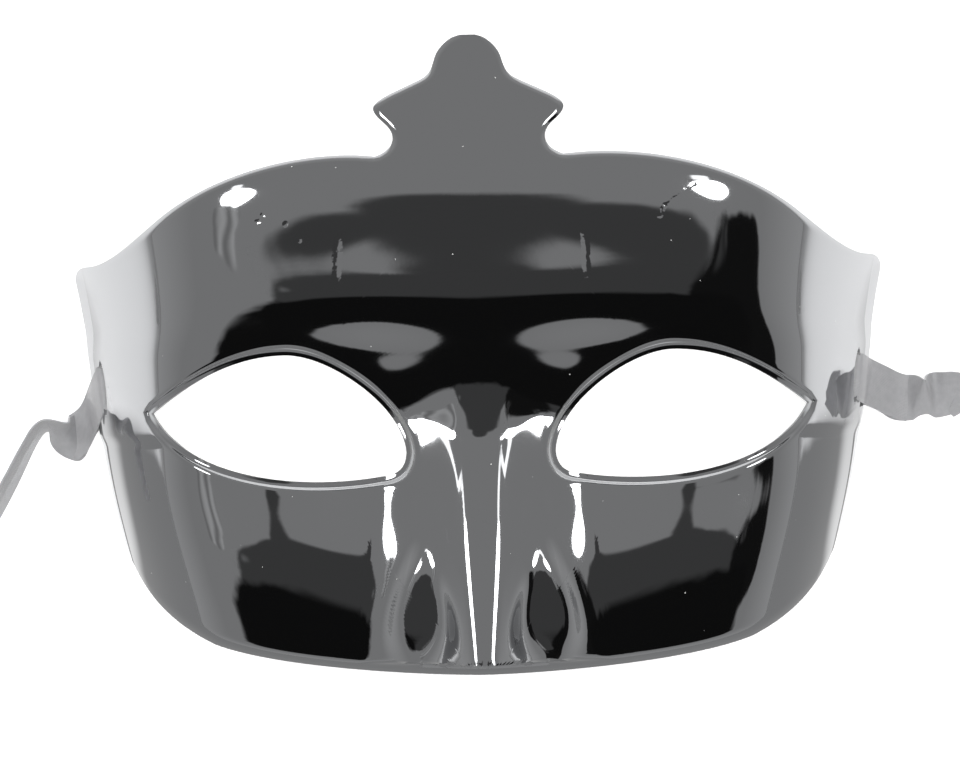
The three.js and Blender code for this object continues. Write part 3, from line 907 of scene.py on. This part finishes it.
    def build(self) -> bpy.types.Object:
        """Model the sheet, give it its wall and cut the slits.

        Returns:
            The finished piece.
        """
        left = self.half_places(-1) * [-1, 1, 1]
        parts = [
            grid_piece("mask_sheet", self.half_places(1)),
            grid_piece("mask_sheet_left", left[::-1]),
            grid_piece("mask_sheet_crown", self.crown_places()),
        ]
        deselect_all()
        for part in parts:
            part.select_set(True)
        bpy.context.view_layer.objects.active = parts[0]
        bpy.ops.object.join()
        shell = bpy.context.object
        shell.name = shell.data.name = "mirror_sheet"
        bpy.ops.object.mode_set(mode="EDIT")
        bpy.ops.mesh.select_all(action="SELECT")
        bpy.ops.mesh.remove_doubles(threshold=self.merge_distance * MM)
        bpy.ops.mesh.normals_make_consistent(inside=False)
        bpy.ops.object.mode_set(mode="OBJECT")
        if sum(p.normal.z for p in shell.data.polygons) < 0:
            shell.data.flip_normals()
        for material in (MetallizedSheet().material(), SheetBack().material(), CutEdge().material()):
            shell.data.materials.append(material)
        finish_modifier(
            shell,
            "wall",
            "SOLIDIFY",
            {
                "thickness": self.wall * MM,
                "offset": -1,
                "use_even_offset": False,
                "material_offset": 1,
                "material_offset_rim": 2,
            },
        )
        for side in (1, -1):
            cutter = self.slit_cutter(side)
            finish_modifier(
                shell,
                "slit",
                "BOOLEAN",
                {"operation": "DIFFERENCE", "solver": "EXACT", "object": cutter},
            )
            bpy.data.objects.remove(cutter)
        take(shell)
        bpy.ops.object.shade_smooth_by_angle(angle=math.radians(self.smooth_angle))
        return shell

    def dress(self) -> bpy.types.Object:
        """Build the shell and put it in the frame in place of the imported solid.

        Returns:
            The finished piece.
        """
        shell = self.build()
        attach(shell, BODY)
        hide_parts("mask_shell")
        return shell


class Side(Enum):
    """Which side of the face a ribbon is on, as the photo shows it."""

    RIGHT = 1
    LEFT = -1


@dataclass
class TieRibbon:
    """A satin ribbon looped through a slit, with its free run on the table.

    The loop lies flat on the strip of sheet between the slit and the edge, front and back, and
    both its ends meet on the table at the seam.
    """

    side: Side
    seam: float  # from the sheet's edge
    drift: float  # of the seam down the face
    # share of the way out, ribbon widths up the face, lean in degrees
    run: tuple[tuple[float, float, float], ...]
    place: SlitPlace
    width: float = 10
    thickness: float = 0.36
    reach: float = 106.6  # of the cut end from the middle of the face
    gap: float = 0.3  # between the cloth and the sheet
    table_gap: float = 0.05  # between the cloth and the table
    # the glued end on the table: reach past the seam, and height in floor clearances
    glued_end: tuple[tuple[float, float], ...] = ((1.4, 2.6), (-1.0, 3.0), (-3.4, 6.4))
    # up the strip's front: share of the strip, and distance from it in sheet clearances
    front: tuple[tuple[float, float], ...] = ((0.3, 1.9), (0.65, 1.5))
    # round the strip's inner edge: degrees, and how round and how far past the edge it bends
    turn: tuple[float, ...] = (90, 55, 20, -20, -55, -90)
    turn_squash: float = 0.8
    turn_past: float = 0.1
    # down the strip's back, as shares of the strip, and under its outer edge
    rear: tuple[float, ...] = (0.65, 0.35)
    under: tuple[float, float] = (0.3, 0.9)
    # out from under the edge: reach, and height in floor clearances
    lip: tuple[float, float] = (-0.3, 1.6)
    # on to the seam: share of the way, and height in floor clearances
    to_seam: tuple[tuple[float, float], ...] = ((0.5, 1.1), (1.0, 1.0))
    free_steps: int = 12
    spacing: float = 0.4  # of the mesh along the ribbon
    curl: float = 0.5  # of the two edges, up and down by turns
    curl_middle: float = 0.4  # how far the middle goes the other way, as a share
    curl_length: float = 7.5
    curl_start: tuple[float, float] = (0.45, 0.75)  # shares of the ribbon's length
    columns: int = 14
    smooth_angle: float = 50
    length: float = field(init=False, default=0)

    @property
    def floor(self) -> float:
        """Height of the cloth's middle where it lies on the table."""
        return self.thickness / 2 + self.table_gap

    def loop(self) -> list[np.ndarray]:
        """The loop through the slit.

        Returns:
            Places of its middle line, from the glued end to the seam.
        """
        p = self.place
        clear = self.gap + self.thickness / 2
        strip = p.setback - p.width / 2
        start = float(np.dot(p.up * strip, p.outward))

        def slant(at: np.ndarray) -> np.ndarray:
            """Move a place down the face, further the nearer it is to the seam."""
            share = (np.dot(at - p.edge, p.outward) - start) / (self.seam - start)
            return at - p.along * self.drift * np.clip(share, 0, 1)

        def on_strip(climb: float, over: float) -> np.ndarray:
            """A place by its way up the strip and its distance out of the sheet."""
            return slant(p.edge + p.up * climb + p.out * over)

        def on_table(reach: float, height: float) -> np.ndarray:
            """A place by its reach from the sheet's edge and its height."""
            return slant(np.array([p.edge[0], p.edge[1], height]) + p.outward * reach)

        front, rear = clear, -p.wall - clear
        bend = (front - rear) / 2
        tip = strip + self.turn_past
        lip_reach, lip_high = self.lip
        return [
            *(on_table(self.seam + past, high * self.floor) for past, high in self.glued_end),
            *(on_strip(strip * share, away * clear) for share, away in self.front),
            *(
                on_strip(
                    tip + bend * math.cos(angle) * self.turn_squash,
                    (front + rear) / 2 + bend * math.sin(angle),
                )
                for angle in np.radians(self.turn)
            ),
            *(on_strip(strip * share, rear) for share in self.rear),
            on_strip(self.under[0], -p.wall - self.under[1] * clear),
            on_table(lip_reach, lip_high * self.floor),
            *(on_table(self.seam * share, high * self.floor) for share, high in self.to_seam),
        ]

    def free_run(self, start: np.ndarray) -> tuple[list[np.ndarray], list[np.ndarray]]:
        """The run from the seam to the cut end.

        Args:
            start: The seam.

        Returns:
            The middles and the directions across.
        """
        rows = np.array(self.run)
        wander, lean = (Spline(rows[:, 0], rows[:, k]) for k in (1, 2))
        nearby = 0.01

        def spot(out: float) -> np.ndarray:
            """The place on the table at a share of the way out."""
            x = mixed(start[0], self.reach, out)
            return np.array([x, start[1] + float(wander(out)) * self.width, 0])

        middles, across = [], []
        for out in np.linspace(0, 1, self.free_steps + 1)[1:]:
            tilt = math.radians(max(float(lean(out)), 0))
            ahead = unit(spot(out + nearby) - spot(out - nearby))
            wide = np.array([-ahead[1], ahead[0], 0]) * math.cos(tilt)
            wide[2] = math.sin(tilt)
            middle = spot(out)
            middle[2] = self.width * math.sin(tilt) / 2 + self.floor
            middles.append(middle)
            across.append(wide)
        return middles, across

    def places(self) -> tuple[np.ndarray, float]:
        """Places of the ribbon's face.

        Returns:
            Points as an array of stations by columns by three, and the ribbon's length.
        """
        loop = self.loop()
        free, free_across = self.free_run(loop[-1])
        middles = np.array([*loop, *free])
        across = np.array([*[self.place.along] * len(loop), *free_across])
        chord = np.linalg.norm(np.diff(middles, axis=0), axis=1)
        run = np.concatenate([[0], np.cumsum(chord)])
        at = np.arange(0, run[-1] + self.spacing / 2, self.spacing)
        at = at * run[-1] / at[-1]
        line = Spline(run, middles)(at)
        wide = unit(Spline(run, across)(at))
        ahead = unit(np.gradient(line, axis=0))
        face = unit(np.cross(ahead, wide))
        across_share = np.linspace(-0.5, 0.5, self.columns + 1)
        starts, full = (run[-1] * share for share in self.curl_start)
        curl = self.curl * smooth(starts, full, at) * np.sin(at / self.curl_length)
        cup = curl[:, None] * ((2 * across_share[None]) ** 2 - self.curl_middle)
        places = (
            line[:, None]
            + wide[:, None] * (across_share * self.width)[None, :, None]
            + face[:, None] * cup[..., None]
        )
        places[..., 2] = np.maximum(places[..., 2], self.thickness / 2)
        length = float(np.linalg.norm(np.diff(line, axis=0), axis=1).sum())
        return places, length

    def build(self) -> bpy.types.Object:
        """Model the ribbon as one strip with its real thickness.

        Returns:
            The finished piece.
        """
        places, self.length = self.places()
        if self.side is Side.LEFT:
            places = (places * [-1, 1, 1])[:, ::-1]
        piece = grid_piece(f"tie_ribbon_{self.side.name.lower()}", places)
        piece.data.materials.append(SatinRibbon(length=self.length).material())
        finish_modifier(
            piece, "thickness", "SOLIDIFY", {"thickness": self.thickness * MM, "offset": 0}
        )
        take(piece)
        bpy.ops.object.shade_smooth_by_angle(angle=math.radians(self.smooth_angle))
        return piece

    def dress(self) -> bpy.types.Object:
        """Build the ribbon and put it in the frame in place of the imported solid.

        Returns:
            The finished piece.
        """
        piece = self.build()
        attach(piece, BODY)
        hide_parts(f"ribbon_{self.side.name.lower()}")
        return piece


@dataclass(frozen=True)
class Mark:
    """A crease, scratch or pit in the formed sheet, from one place to another on the plan."""

    start: tuple[float, float]
    end: tuple[float, float]
    width: float
    depth: float

    def height(self, tree: bpy.types.NodeTree, place: bpy.types.NodeSocket) -> bpy.types.NodeSocket:
        """Add the nodes of a groove along the mark.

        Args:
            tree: The sheet's node tree.
            place: The place in the frame, in metres, with its third part 0.

        Returns:
            The groove's height, in millimetres below 0.
        """
        start, end = (
            np.array([x, y + PLAN_TO_FRAME_Y, 0]) * MM for x, y in (self.start, self.end)
        )
        along = end - start
        way = add_node(
            tree, "ShaderNodeVectorMath", {"operation": "SUBTRACT"}, {0: place, 1: tuple(start)}
        )
        share = add_node(
            tree,
            "ShaderNodeVectorMath",
            {"operation": "DOT_PRODUCT"},
            {0: way.outputs[0], 1: tuple(along / along.dot(along))},
        )
        held = add_node(tree, "ShaderNodeClamp", links={0: share.outputs["Value"]})
        foot = add_node(
            tree,
            "ShaderNodeVectorMath",
            {"operation": "SCALE"},
            {0: tuple(along), "Scale": held.outputs[0]},
        )
        gap = add_node(
            tree,
            "ShaderNodeVectorMath",
            {"operation": "DISTANCE"},
            {0: way.outputs[0], 1: foot.outputs[0]},
        )
        groove = add_node(
            tree,
            "ShaderNodeMapRange",
            {"interpolation_type": "SMOOTHSTEP"},
            {0: gap.outputs["Value"], 1: 0.0, 2: self.width * MM, 3: -self.depth, 4: 0.0},
        )
        return groove.outputs[0]


# two creases, a forked scratch, pits by the lamp spots and a short scratch on the nose
WEAR = (
    Mark((-28.2, 89.1), (-28.5, 79.0), 1.1, 0.05),
    Mark((21.6, 89.4), (21.9, 81.0), 1.0, 0.05),
    Mark((44.1, 99.3), (38.0, 95.0), 0.5, 0.04),
    Mark((38.0, 95.0), (36.9, 92.8), 0.6, 0.04),
    Mark((-44.3, 93.0), (-44.1, 93.2), 0.7, 0.06),
    Mark((-43.4, 94.5), (-43.2, 94.4), 0.5, 0.05),
    Mark((-38.8, 92.4), (-38.6, 92.5), 0.7, 0.06),
    Mark((-35.9, 89.2), (-35.8, 89.0), 0.5, 0.05),
    Mark((3.0, 104.6), (3.6, 104.2), 0.8, 0.05),
    Mark((-7.6, 30.5), (-7.1, 28.0), 0.4, 0.02),
)


@dataclass(frozen=True)
class MetallizedSheet:
    """Aluminium film on vacuum-formed plastic sheet.

    To the eye it is a mirror that darkens what it shows and bends its outlines a little, with
    nicks that catch the light and a few pale specks of dust.
    """

    colour: str = "#b3b4b6"
    dust: str = "#e4e4e2"
    roughness: float = 0.05
    wave: float = 16.0  # mm from one faint swelling of the sheet to the next
    wave_depth: float = 0.05
    peel: float = 1.6  # mm, the grain of the plastic under the film, drawn coarser than it is
    peel_depth: float = 0.0012
    stray: float = 0.9  # mm over which the outline of a mark wanders
    stray_scale: float = 600.0  # to the metre
    dust_spacing: float = 5.0  # mm
    dust_size: float = 0.16  # mm
    dust_core: float = 0.6
    dust_roughness: float = 0.7
    marks: tuple[Mark, ...] = WEAR

    def relief(self, tree: bpy.types.NodeTree, place: bpy.types.NodeSocket) -> bpy.types.NodeSocket:
        """Add the waviness, the grain and the marks.

        Args:
            tree: The sheet's node tree.
            place: The place in the frame, in metres.

        Returns:
            The bent normal.
        """
        normal = None
        for pitch, depth in ((self.wave, self.wave_depth), (self.peel, self.peel_depth)):
            noise = add_node(
                tree,
                "ShaderNodeTexNoise",
                links={"Vector": place, "Scale": 1 / (pitch * MM), "Detail": 1.0},
            )
            links = {"Height": noise.outputs[0], "Distance": depth * MM, "Strength": 1.0}
            if normal:
                links["Normal"] = normal
            normal = add_node(tree, "ShaderNodeBump", links=links).outputs[0]
        wobble = add_node(
            tree,
            "ShaderNodeTexNoise",
            links={"Vector": place, "Scale": self.stray_scale, "Detail": 2.0},
        )
        stray = self.stray * MM
        shift = add_node(
            tree,
            "ShaderNodeVectorMath",
            {"operation": "MULTIPLY_ADD"},
            {0: wobble.outputs["Color"], 1: (stray, stray, 0), 2: place},
        )
        flat = add_node(
            tree,
            "ShaderNodeVectorMath",
            {"operation": "MULTIPLY_ADD"},
            {0: shift.outputs[0], 1: (1, 1, 0), 2: (-stray / 2, -stray / 2, 0)},
        )
        total = None
        for mark in self.marks:
            height = mark.height(tree, flat.outputs[0])
            if total:
                height = add_node(
                    tree, "ShaderNodeMath", {"operation": "ADD"}, {0: total, 1: height}
                ).outputs[0]
            total = height
        if total:
            links = {"Height": total, "Distance": MM, "Strength": 1.0, "Normal": normal}
            normal = add_node(tree, "ShaderNodeBump", links=links).outputs[0]
        return normal

    def material(self) -> bpy.types.Material:
        """Make the material.

        Returns:
            The material.
        """
        material, tree, shader = new_material("metallized plastic sheet")
        place = add_node(tree, "ShaderNodeTexCoord").outputs["Object"]
        tree.links.new(self.relief(tree, place), shader.inputs["Normal"])
        dots = add_node(
            tree,
            "ShaderNodeTexVoronoi",
            links={"Vector": place, "Scale": 1 / (self.dust_spacing * MM)},
        )
        size = self.dust_size / self.dust_spacing
        specks = add_node(
            tree,
            "ShaderNodeMapRange",
            links={0: dots.outputs["Distance"], 1: self.dust_core * size, 2: size, 3: 1.0, 4: 0.0},
        )
        tint = add_node(
            tree,
            "ShaderNodeMix",
            {"data_type": "RGBA"},
            {0: specks.outputs[0], MIX_A: linear(self.colour), MIX_B: linear(self.dust)},
        )
        tree.links.new(tint.outputs[MIX_RESULT], shader.inputs["Base Color"])
        on_dust = {"Roughness": (self.roughness, self.dust_roughness), "Metallic": (1.0, 0.0)}
        for name, (clean, dusty) in on_dust.items():
            value = add_node(
                tree, "ShaderNodeMapRange", links={0: specks.outputs[0], 3: clean, 4: dusty}
            )
            tree.links.new(value.outputs[0], shader.inputs[name])
        return material


@dataclass(frozen=True)
class SheetBack:
    """The bare back of the plastic sheet, as it came from the roll: pale, with a soft sheen."""

    colour: str = "#c9c9c7"
    roughness: float = 0.42
    grain_scale: float = 700.0  # to the metre
    grain_depth: float = 0.01  # mm

    def material(self) -> bpy.types.Material:
        """Make the material.

        Returns:
            The material.
        """
        material, tree, shader = new_material(
            "bare plastic sheet back",
            {"Base Color": linear(self.colour), "Roughness": self.roughness},
        )
        place = add_node(tree, "ShaderNodeTexCoord").outputs["Object"]
        grain = add_node(
            tree,
            "ShaderNodeTexNoise",
            links={"Vector": place, "Scale": self.grain_scale, "Detail": 3.0},
        )
        bump = add_node(
            tree,
            "ShaderNodeBump",
            links={
                "Height": grain.outputs[0],
                "Distance": self.grain_depth * MM,
                "Strength": 1.0,
            },
        )
        tree.links.new(bump.outputs[0], shader.inputs["Normal"])
        return material


@dataclass(frozen=True)
class CutEdge:
    """The trimmed edge, where the knife bared the plastic: a thin matt line of mottled grey."""

    colour: str = "#b6b7b8"
    shade: str = "#77787a"
    roughness: float = 0.35
    grain_scale: float = 900.0  # to the metre

    def material(self) -> bpy.types.Material:
        """Make the material.

        Returns:
            The material.
        """
        material, tree, shader = new_material(
            "trimmed plastic edge", {"Roughness": self.roughness}
        )
        place = add_node(tree, "ShaderNodeTexCoord").outputs["Object"]
        grain = add_node(
            tree,
            "ShaderNodeTexNoise",
            links={"Vector": place, "Scale": self.grain_scale, "Detail": 2.0},
        )
        tint = add_node(
            tree,
            "ShaderNodeMix",
            {"data_type": "RGBA"},
            {0: grain.outputs[0], MIX_A: linear(self.shade), MIX_B: linear(self.colour)},
        )
        tree.links.new(tint.outputs[MIX_RESULT], shader.inputs["Base Color"])
        return material


@dataclass(frozen=True)
class SatinRibbon:
    """Polyester satin, woven with long floats of warp: a soft shine along the ribbon."""

    length: float  # mm
    colour: str = "#b6b6b8"
    shade: str = "#a0a0a3"
    width: float = 10.0
    warp: float = 0.32  # mm between warp threads, drawn coarser than the real 0.1 mm
    weft: float = 0.5  # mm between weft threads, drawn coarser as well
    weft_share: float = 0.35  # of the weave's height
    weave_depth: float = 0.05  # mm
    cloud_scale: float = 0.7  # to the mm, of the paler and darker stretches

    def material(self) -> bpy.types.Material:
        """Make the material.

        Returns:
            The material.
        """
        material, tree, shader = new_material(
            "woven satin ribbon",
            {
                "Roughness": 0.38,
                "Specular IOR Level": 0.7,
                "Anisotropic": 0.6,
                "Sheen Weight": 0.25,
                "Sheen Roughness": 0.4,
            },
        )
        flat = add_node(tree, "ShaderNodeUVMap").outputs[0]
        scaled = add_node(
            tree,
            "ShaderNodeMapping",
            links={"Vector": flat, "Scale": (self.width, self.length, 1.0)},
        )
        wave_span = 0.314  # of one wave at scale 1
        threads = []
        for way, pitch, distortion in (("X", self.warp, 0.6), ("Y", self.weft, 1.5)):
            wave = add_node(
                tree,
                "ShaderNodeTexWave",
                {"bands_direction": way},
                {
                    "Vector": scaled.outputs[0],
                    "Scale": wave_span / pitch,
                    "Distortion": distortion,
                },
            )
            threads.append(wave.outputs["Fac"])
        both = add_node(
            tree,
            "ShaderNodeMath",
            {"operation": "MULTIPLY_ADD"},
            {0: threads[1], 1: self.weft_share, 2: threads[0]},
        )
        bump = add_node(
            tree,
            "ShaderNodeBump",
            links={
                "Height": both.outputs[0],
                "Distance": self.weave_depth * MM,
                "Strength": 0.8,
            },
        )
        tree.links.new(bump.outputs[0], shader.inputs["Normal"])
        uneven = add_node(
            tree,
            "ShaderNodeTexNoise",
            links={"Vector": scaled.outputs[0], "Scale": self.cloud_scale, "Detail": 3.0},
        )
        tint = add_node(
            tree,
            "ShaderNodeMix",
            {"data_type": "RGBA"},
            {0: uneven.outputs[0], MIX_A: linear(self.shade), MIX_B: linear(self.colour)},
        )
        tree.links.new(tint.outputs[MIX_RESULT], shader.inputs["Base Color"])
        return material


@dataclass(frozen=True)
class Card:
    """A flat card over the table that only the mirror finish sees, with a soft uneven border."""

    name: str
    low: tuple[float, float]
    high: tuple[float, float]
    height: float
    tone: float
    soft: float
    uneven: float
    lumps: float  # to the metre
    square: float  # 2 is an ellipse, higher is squarer
    folds: float = 0.0  # to the metre, as of a hanging cloth
    fold_wander: float = 9.0
    fold_tones: tuple[float, float] = (0.5, 1.1)  # shares of the tone

    @property
    def middle(self) -> np.ndarray:
        """The card's middle."""
        return (np.array(self.low) + self.high) / 2

    @property
    def reach(self) -> np.ndarray:
        """Half the card's sizes."""
        return (np.array(self.high) - self.low) / 2

    def cover(
        self, tree: bpy.types.NodeTree, place: bpy.types.NodeSocket
    ) -> bpy.types.NodeSocket:
        """Add the nodes of the card's outline.

        Args:
            tree: The card's node tree.
            place: The place in the frame, in metres.

        Returns:
            How much of the card is there, from 0 outside to 1.
        """
        noise = add_node(
            tree, "ShaderNodeTexNoise", links={"Vector": place, "Scale": self.lumps, "Detail": 2.0}
        )
        way = add_node(
            tree,
            "ShaderNodeVectorMath",
            {"operation": "SUBTRACT"},
            {0: place, 1: (*self.middle, 0)},
        )
        share = add_node(
            tree,
            "ShaderNodeVectorMath",
            {"operation": "DIVIDE"},
            {0: way.outputs[0], 1: (*self.reach, 1)},
        )
        size = add_node(
            tree, "ShaderNodeVectorMath", {"operation": "ABSOLUTE"}, {0: share.outputs[0]}
        )
        parts = add_node(tree, "ShaderNodeSeparateXYZ", links={0: size.outputs[0]})
        # the superellipse through a place, then how far inside the border that is
        raised = [
            add_node(
                tree,
                "ShaderNodeMath",
                {"operation": "POWER"},
                {0: parts.outputs[k], 1: self.square},
            )
            for k in (0, 1)
        ]
        total = add_node(
            tree,
            "ShaderNodeMath",
            {"operation": "ADD"},
            {0: raised[0].outputs[0], 1: raised[1].outputs[0]},
        )
        out = add_node(
            tree,
            "ShaderNodeMath",
            {"operation": "POWER"},
            {0: total.outputs[0], 1: 1 / self.square},
        )
        least = min(self.reach)
        near = add_node(
            tree,
            "ShaderNodeMath",
            {"operation": "MULTIPLY_ADD"},
            {0: out.outputs[0], 1: -least, 2: least},
        )
        shift = add_node(
            tree,
            "ShaderNodeMath",
            {"operation": "MULTIPLY_ADD"},
            {0: noise.outputs[0], 1: -2 * self.uneven, 2: near.outputs[0]},
        )
        cover = add_node(
            tree,
            "ShaderNodeMapRange",
            {"interpolation_type": "SMOOTHSTEP"},
            {0: shift.outputs[0], 1: 0.0, 2: self.soft, 3: 0.0, 4: 1.0},
        )
        return cover.outputs[0]

    def material(self) -> bpy.types.Material:
        """Make a plain glow that fades out at the border.

        Returns:
            The material.
        """
        material, tree = empty_material(self.name)
        place = add_node(tree, "ShaderNodeTexCoord").outputs["Object"]
        glow = add_node(
            tree, "ShaderNodeEmission", links={"Color": (self.tone, self.tone, self.tone, 1)}
        )
        if self.folds:
            wave = add_node(
                tree,
                "ShaderNodeTexWave",
                {"bands_direction": "X"},
                {
                    "Vector": place,
                    "Scale": self.folds / math.pi,
                    "Distortion": self.fold_wander,
                    "Detail": 2.0,
                },
            )
            darkest, palest = self.fold_tones
            strength = add_node(
                tree, "ShaderNodeMapRange", links={0: wave.outputs["Fac"], 3: darkest, 4: palest}
            )
            tree.links.new(strength.outputs[0], glow.inputs["Strength"])
        clear = add_node(tree, "ShaderNodeBsdfTransparent")
        both = add_node(
            tree,
            "ShaderNodeMixShader",
            links={0: self.cover(tree, place), 1: clear.outputs[0], 2: glow.outputs[0]},
        )
        add_node(tree, "ShaderNodeOutputMaterial", links={"Surface": both.outputs[0]})
        return material

    def hang(self) -> None:
        """Put the card in the studio, where it lights nothing."""
        deselect_all()
        bpy.ops.mesh.primitive_plane_add(size=2)
        piece = bpy.context.object
        piece.name = piece.data.name = self.name
        for vertex in piece.data.vertices:
            x, y = np.array(vertex.co[:2]) * self.reach + self.middle
            vertex.co = (x, y, self.height)
        piece.data.materials.append(self.material())
        piece.visible_camera = False
        piece.visible_diffuse = False
        piece.visible_shadow = False
        piece.visible_transmission = False


@dataclass(frozen=True)
class Lamp:
    """An area light that faces the mask, in metres and watts."""

    name: str
    place: tuple[float, float, float]
    size: tuple[float, float]
    power: float
    mirrored: bool  # whether the mirror finish shows it, as an ellipse
    spread: float = 180
    aim_height: float = 0.02

    def hang(self) -> None:
        """Put the lamp in the studio."""
        data = bpy.data.lights.new(self.name, "AREA")
        data.shape = "ELLIPSE" if self.mirrored else "RECTANGLE"
        data.size, data.size_y = self.size
        data.energy = self.power
        data.spread = math.radians(self.spread)
        light = bpy.data.objects.new(self.name, data)
        light.location = self.place
        aim = Vector((0, 0, self.aim_height)) - Vector(self.place)
        light.rotation_euler = aim.to_track_quat("-Z", "Y").to_euler()
        light.visible_glossy = self.mirrored
        light.visible_camera = False
        bpy.context.collection.objects.link(light)


@dataclass
class Studio:
    """The pale floor, soft light, reflected surroundings and camera, in metres."""

    camera_height: float = 0.600
    camera_y: float = -0.0072
    view_width: float = 0.210
    roll: float = 1.0
    clip: tuple[float, float] = (0.01, 50)
    table_size: float = 8
    table_level: float = -0.0002
    table_tone: float = 0.9
    painted_glow: float = 0.45  # painted glow of the opal table top, that lifts its shadows
    lit_to: tuple[float, float] = (0.13, 0.6)  # where that painted glow begins to fade, and ends
    horizon: float = 0.48
    overhead: float = 0.34
    overhead_from: float = 0.5  # share of the way up the sky
    lamps: tuple[Lamp, ...] = (
        Lamp("over_light", (0, -0.01, 0.62), (0.25, 0.25), 0.6, False, 95),
        Lamp("lamp_left", (-0.76, 0.58, 1.08), (0.46, 0.30), 2.8, True),
        Lamp("lamp_right", (0.68, 0.57, 1.08), (0.44, 0.32), 2.8, True),
    )
    # name, low and high corners, height, tone, softness, unevenness, lumps, squareness, folds
    cards: tuple[Card, ...] = (
        Card("ceiling_shade", (-0.72, -0.75), (0.86, 0.40), 1.10, 0.072, 0.05, 0.06, 3.0, 1.8),
        Card("ceiling_peak", (-0.16, 0.00), (0.13, 0.60), 1.12, 0.072, 0.04, 0.03, 5.0, 2.0),
        Card("dark_side", (-0.95, -1.62), (1.25, -0.13), 1.00, 0.008, 0.10, 0.08, 4.0, 5.0),
        Card("pale_patch", (-0.56, -0.16), (-0.30, 0.08), 0.98, 0.240, 0.10, 0.06, 6.0, 2.0),
        Card("dark_wing_right", (0.46, -0.9), (1.75, 0.36), 1.02, 0.010, 0.08, 0.08, 4.0, 3.0),
        Card("curtain_left", (-1.15, -0.12), (-0.50, 0.50), 0.97, 0.480, 0.04, 0.10, 5.0, 3.0, 5.0),
        Card("curtain_right", (0.60, -0.12), (0.84, 0.34), 0.97, 0.070, 0.04, 0.05, 5.0, 3.0, 12.0),
        Card("window_left", (-0.87, 0.76), (-0.71, 0.95), 1.06, 2.400, 0.03, 0.00, 4.0, 4.0),
        Card("window_right", (0.51, 0.76), (0.71, 0.94), 1.06, 2.400, 0.03, 0.00, 4.0, 4.0),
        Card("low_side", (-0.90, -0.80), (0.90, -0.006), 0.004, 0.36, 0.010, 0.004, 9.0, 12.0),
        Card("near_paper", (-0.087, -0.074), (0.087, 0.074), 0.006, 0.95, 0.004, 0.000, 9.0, 3.0),
    )

    def camera(self) -> None:
        """Look straight down on the mask from the photo's distance, with its slight roll."""
        data = bpy.data.cameras.new("camera")
        data.sensor_fit = "HORIZONTAL"
        data.angle = 2 * math.atan(self.view_width / 2 / self.camera_height)
        data.clip_start, data.clip_end = self.clip
        camera = bpy.data.objects.new("camera", data)
        camera.location = (0, self.camera_y, self.camera_height)
        camera.rotation_euler = (0, 0, -math.radians(self.roll))
        bpy.context.collection.objects.link(camera)
        bpy.context.scene.camera = camera

    def floor(self) -> None:
        """A plain pale table top with a painted glow round the mask, so its shadows are faint."""
        deselect_all()
        bpy.ops.mesh.primitive_plane_add(size=self.table_size, location=(0, 0, self.table_level))
        floor = bpy.context.object
        floor.name = floor.data.name = "table_top"
        tone = self.table_tone
        material, tree, shader = new_material(
            "opal acrylic table top",
            {
                "Base Color": (tone, tone, tone, 1),
                "Emission Color": (1, 1, 1, 1),
                "Roughness": 0.9,
                "Specular IOR Level": 0.1,
            },
        )
        # the emission is painted light: a glow, strongest round the mask, that brightens the shadows
        # on the table
        place = add_node(tree, "ShaderNodeTexCoord").outputs["Object"]
        far = add_node(tree, "ShaderNodeVectorMath", {"operation": "LENGTH"}, {0: place})
        fades, ends = self.lit_to
        lit = add_node(
            tree,
            "ShaderNodeMapRange",
            {"interpolation_type": "SMOOTHSTEP"},
            {0: far.outputs["Value"], 1: fades, 2: ends, 3: self.painted_glow, 4: 0.0},
        )
        tree.links.new(lit.outputs[0], shader.inputs["Emission Strength"])
        floor.data.materials.append(material)

    def world(self) -> None:
        """Grey surroundings, lighter towards the horizon."""
        world = bpy.data.worlds.new("studio")
        bpy.context.scene.world = world
        world.use_nodes = True
        tree = world.node_tree
        tree.nodes.clear()
        way = add_node(tree, "ShaderNodeTexCoord").outputs["Generated"]
        parts = add_node(tree, "ShaderNodeSeparateXYZ", links={0: way})
        ramp = add_node(tree, "ShaderNodeValToRGB", links={0: parts.outputs["Z"]})
        stops = ((0.0, self.horizon), (self.overhead_from, self.overhead))
        for element, (position, tone) in zip(ramp.color_ramp.elements, stops):
            element.position = position
            element.color = (tone, tone, tone, 1)
        back = add_node(tree, "ShaderNodeBackground", links={0: ramp.outputs[0], 1: 1.0})
        add_node(tree, "ShaderNodeOutputWorld", links={0: back.outputs[0]})

    def build(self) -> None:
        """Set the whole studio up."""
        self.camera()
        self.floor()
        self.world()
        for reflected in (*self.cards, *self.lamps):
            reflected.hang()
        view = bpy.context.scene.view_settings
        view.view_transform = "Standard"
        view.look = "None"


def main() -> None:
    """Build the mask, its ribbons and the studio."""
    logging.basicConfig(level=logging.INFO, format="%(message)s")
    Studio().build()
    mask = MaskShell()
    shell = mask.dress()
    LOG.info("%s: %d faces", shell.name, len(shell.data.polygons))
    slit = mask.slit_place()
    ribbons = (
        TieRibbon(
            Side.RIGHT,
            seam=8.5,
            drift=3.5,
            run=(
                (0, 0, 0),
                (0.16, 0, 12),
                (0.3, 0, 44),
                (0.44, 0.04, 14),
                (0.62, 0.07, 16),
                (0.85, 0.04, 30),
                (1, -0.22, 44),
            ),
            place=slit,
        ),
        TieRibbon(
            Side.LEFT,
            seam=5,
            drift=9.5,
            run=(
                (0, 0, 0),
                (0.15, 0.02, 40),
                (0.33, 0.26, 74),
                (0.5, 0, 82),
                (0.7, -0.65, 80),
                (1, -1.7, 78),
            ),
            place=slit,
        ),
    )
    for ribbon in ribbons:
        piece = ribbon.dress()
        LOG.info("%s: %.0f mm long", piece.name, ribbon.length)


if __name__ == "__main__":
    main()
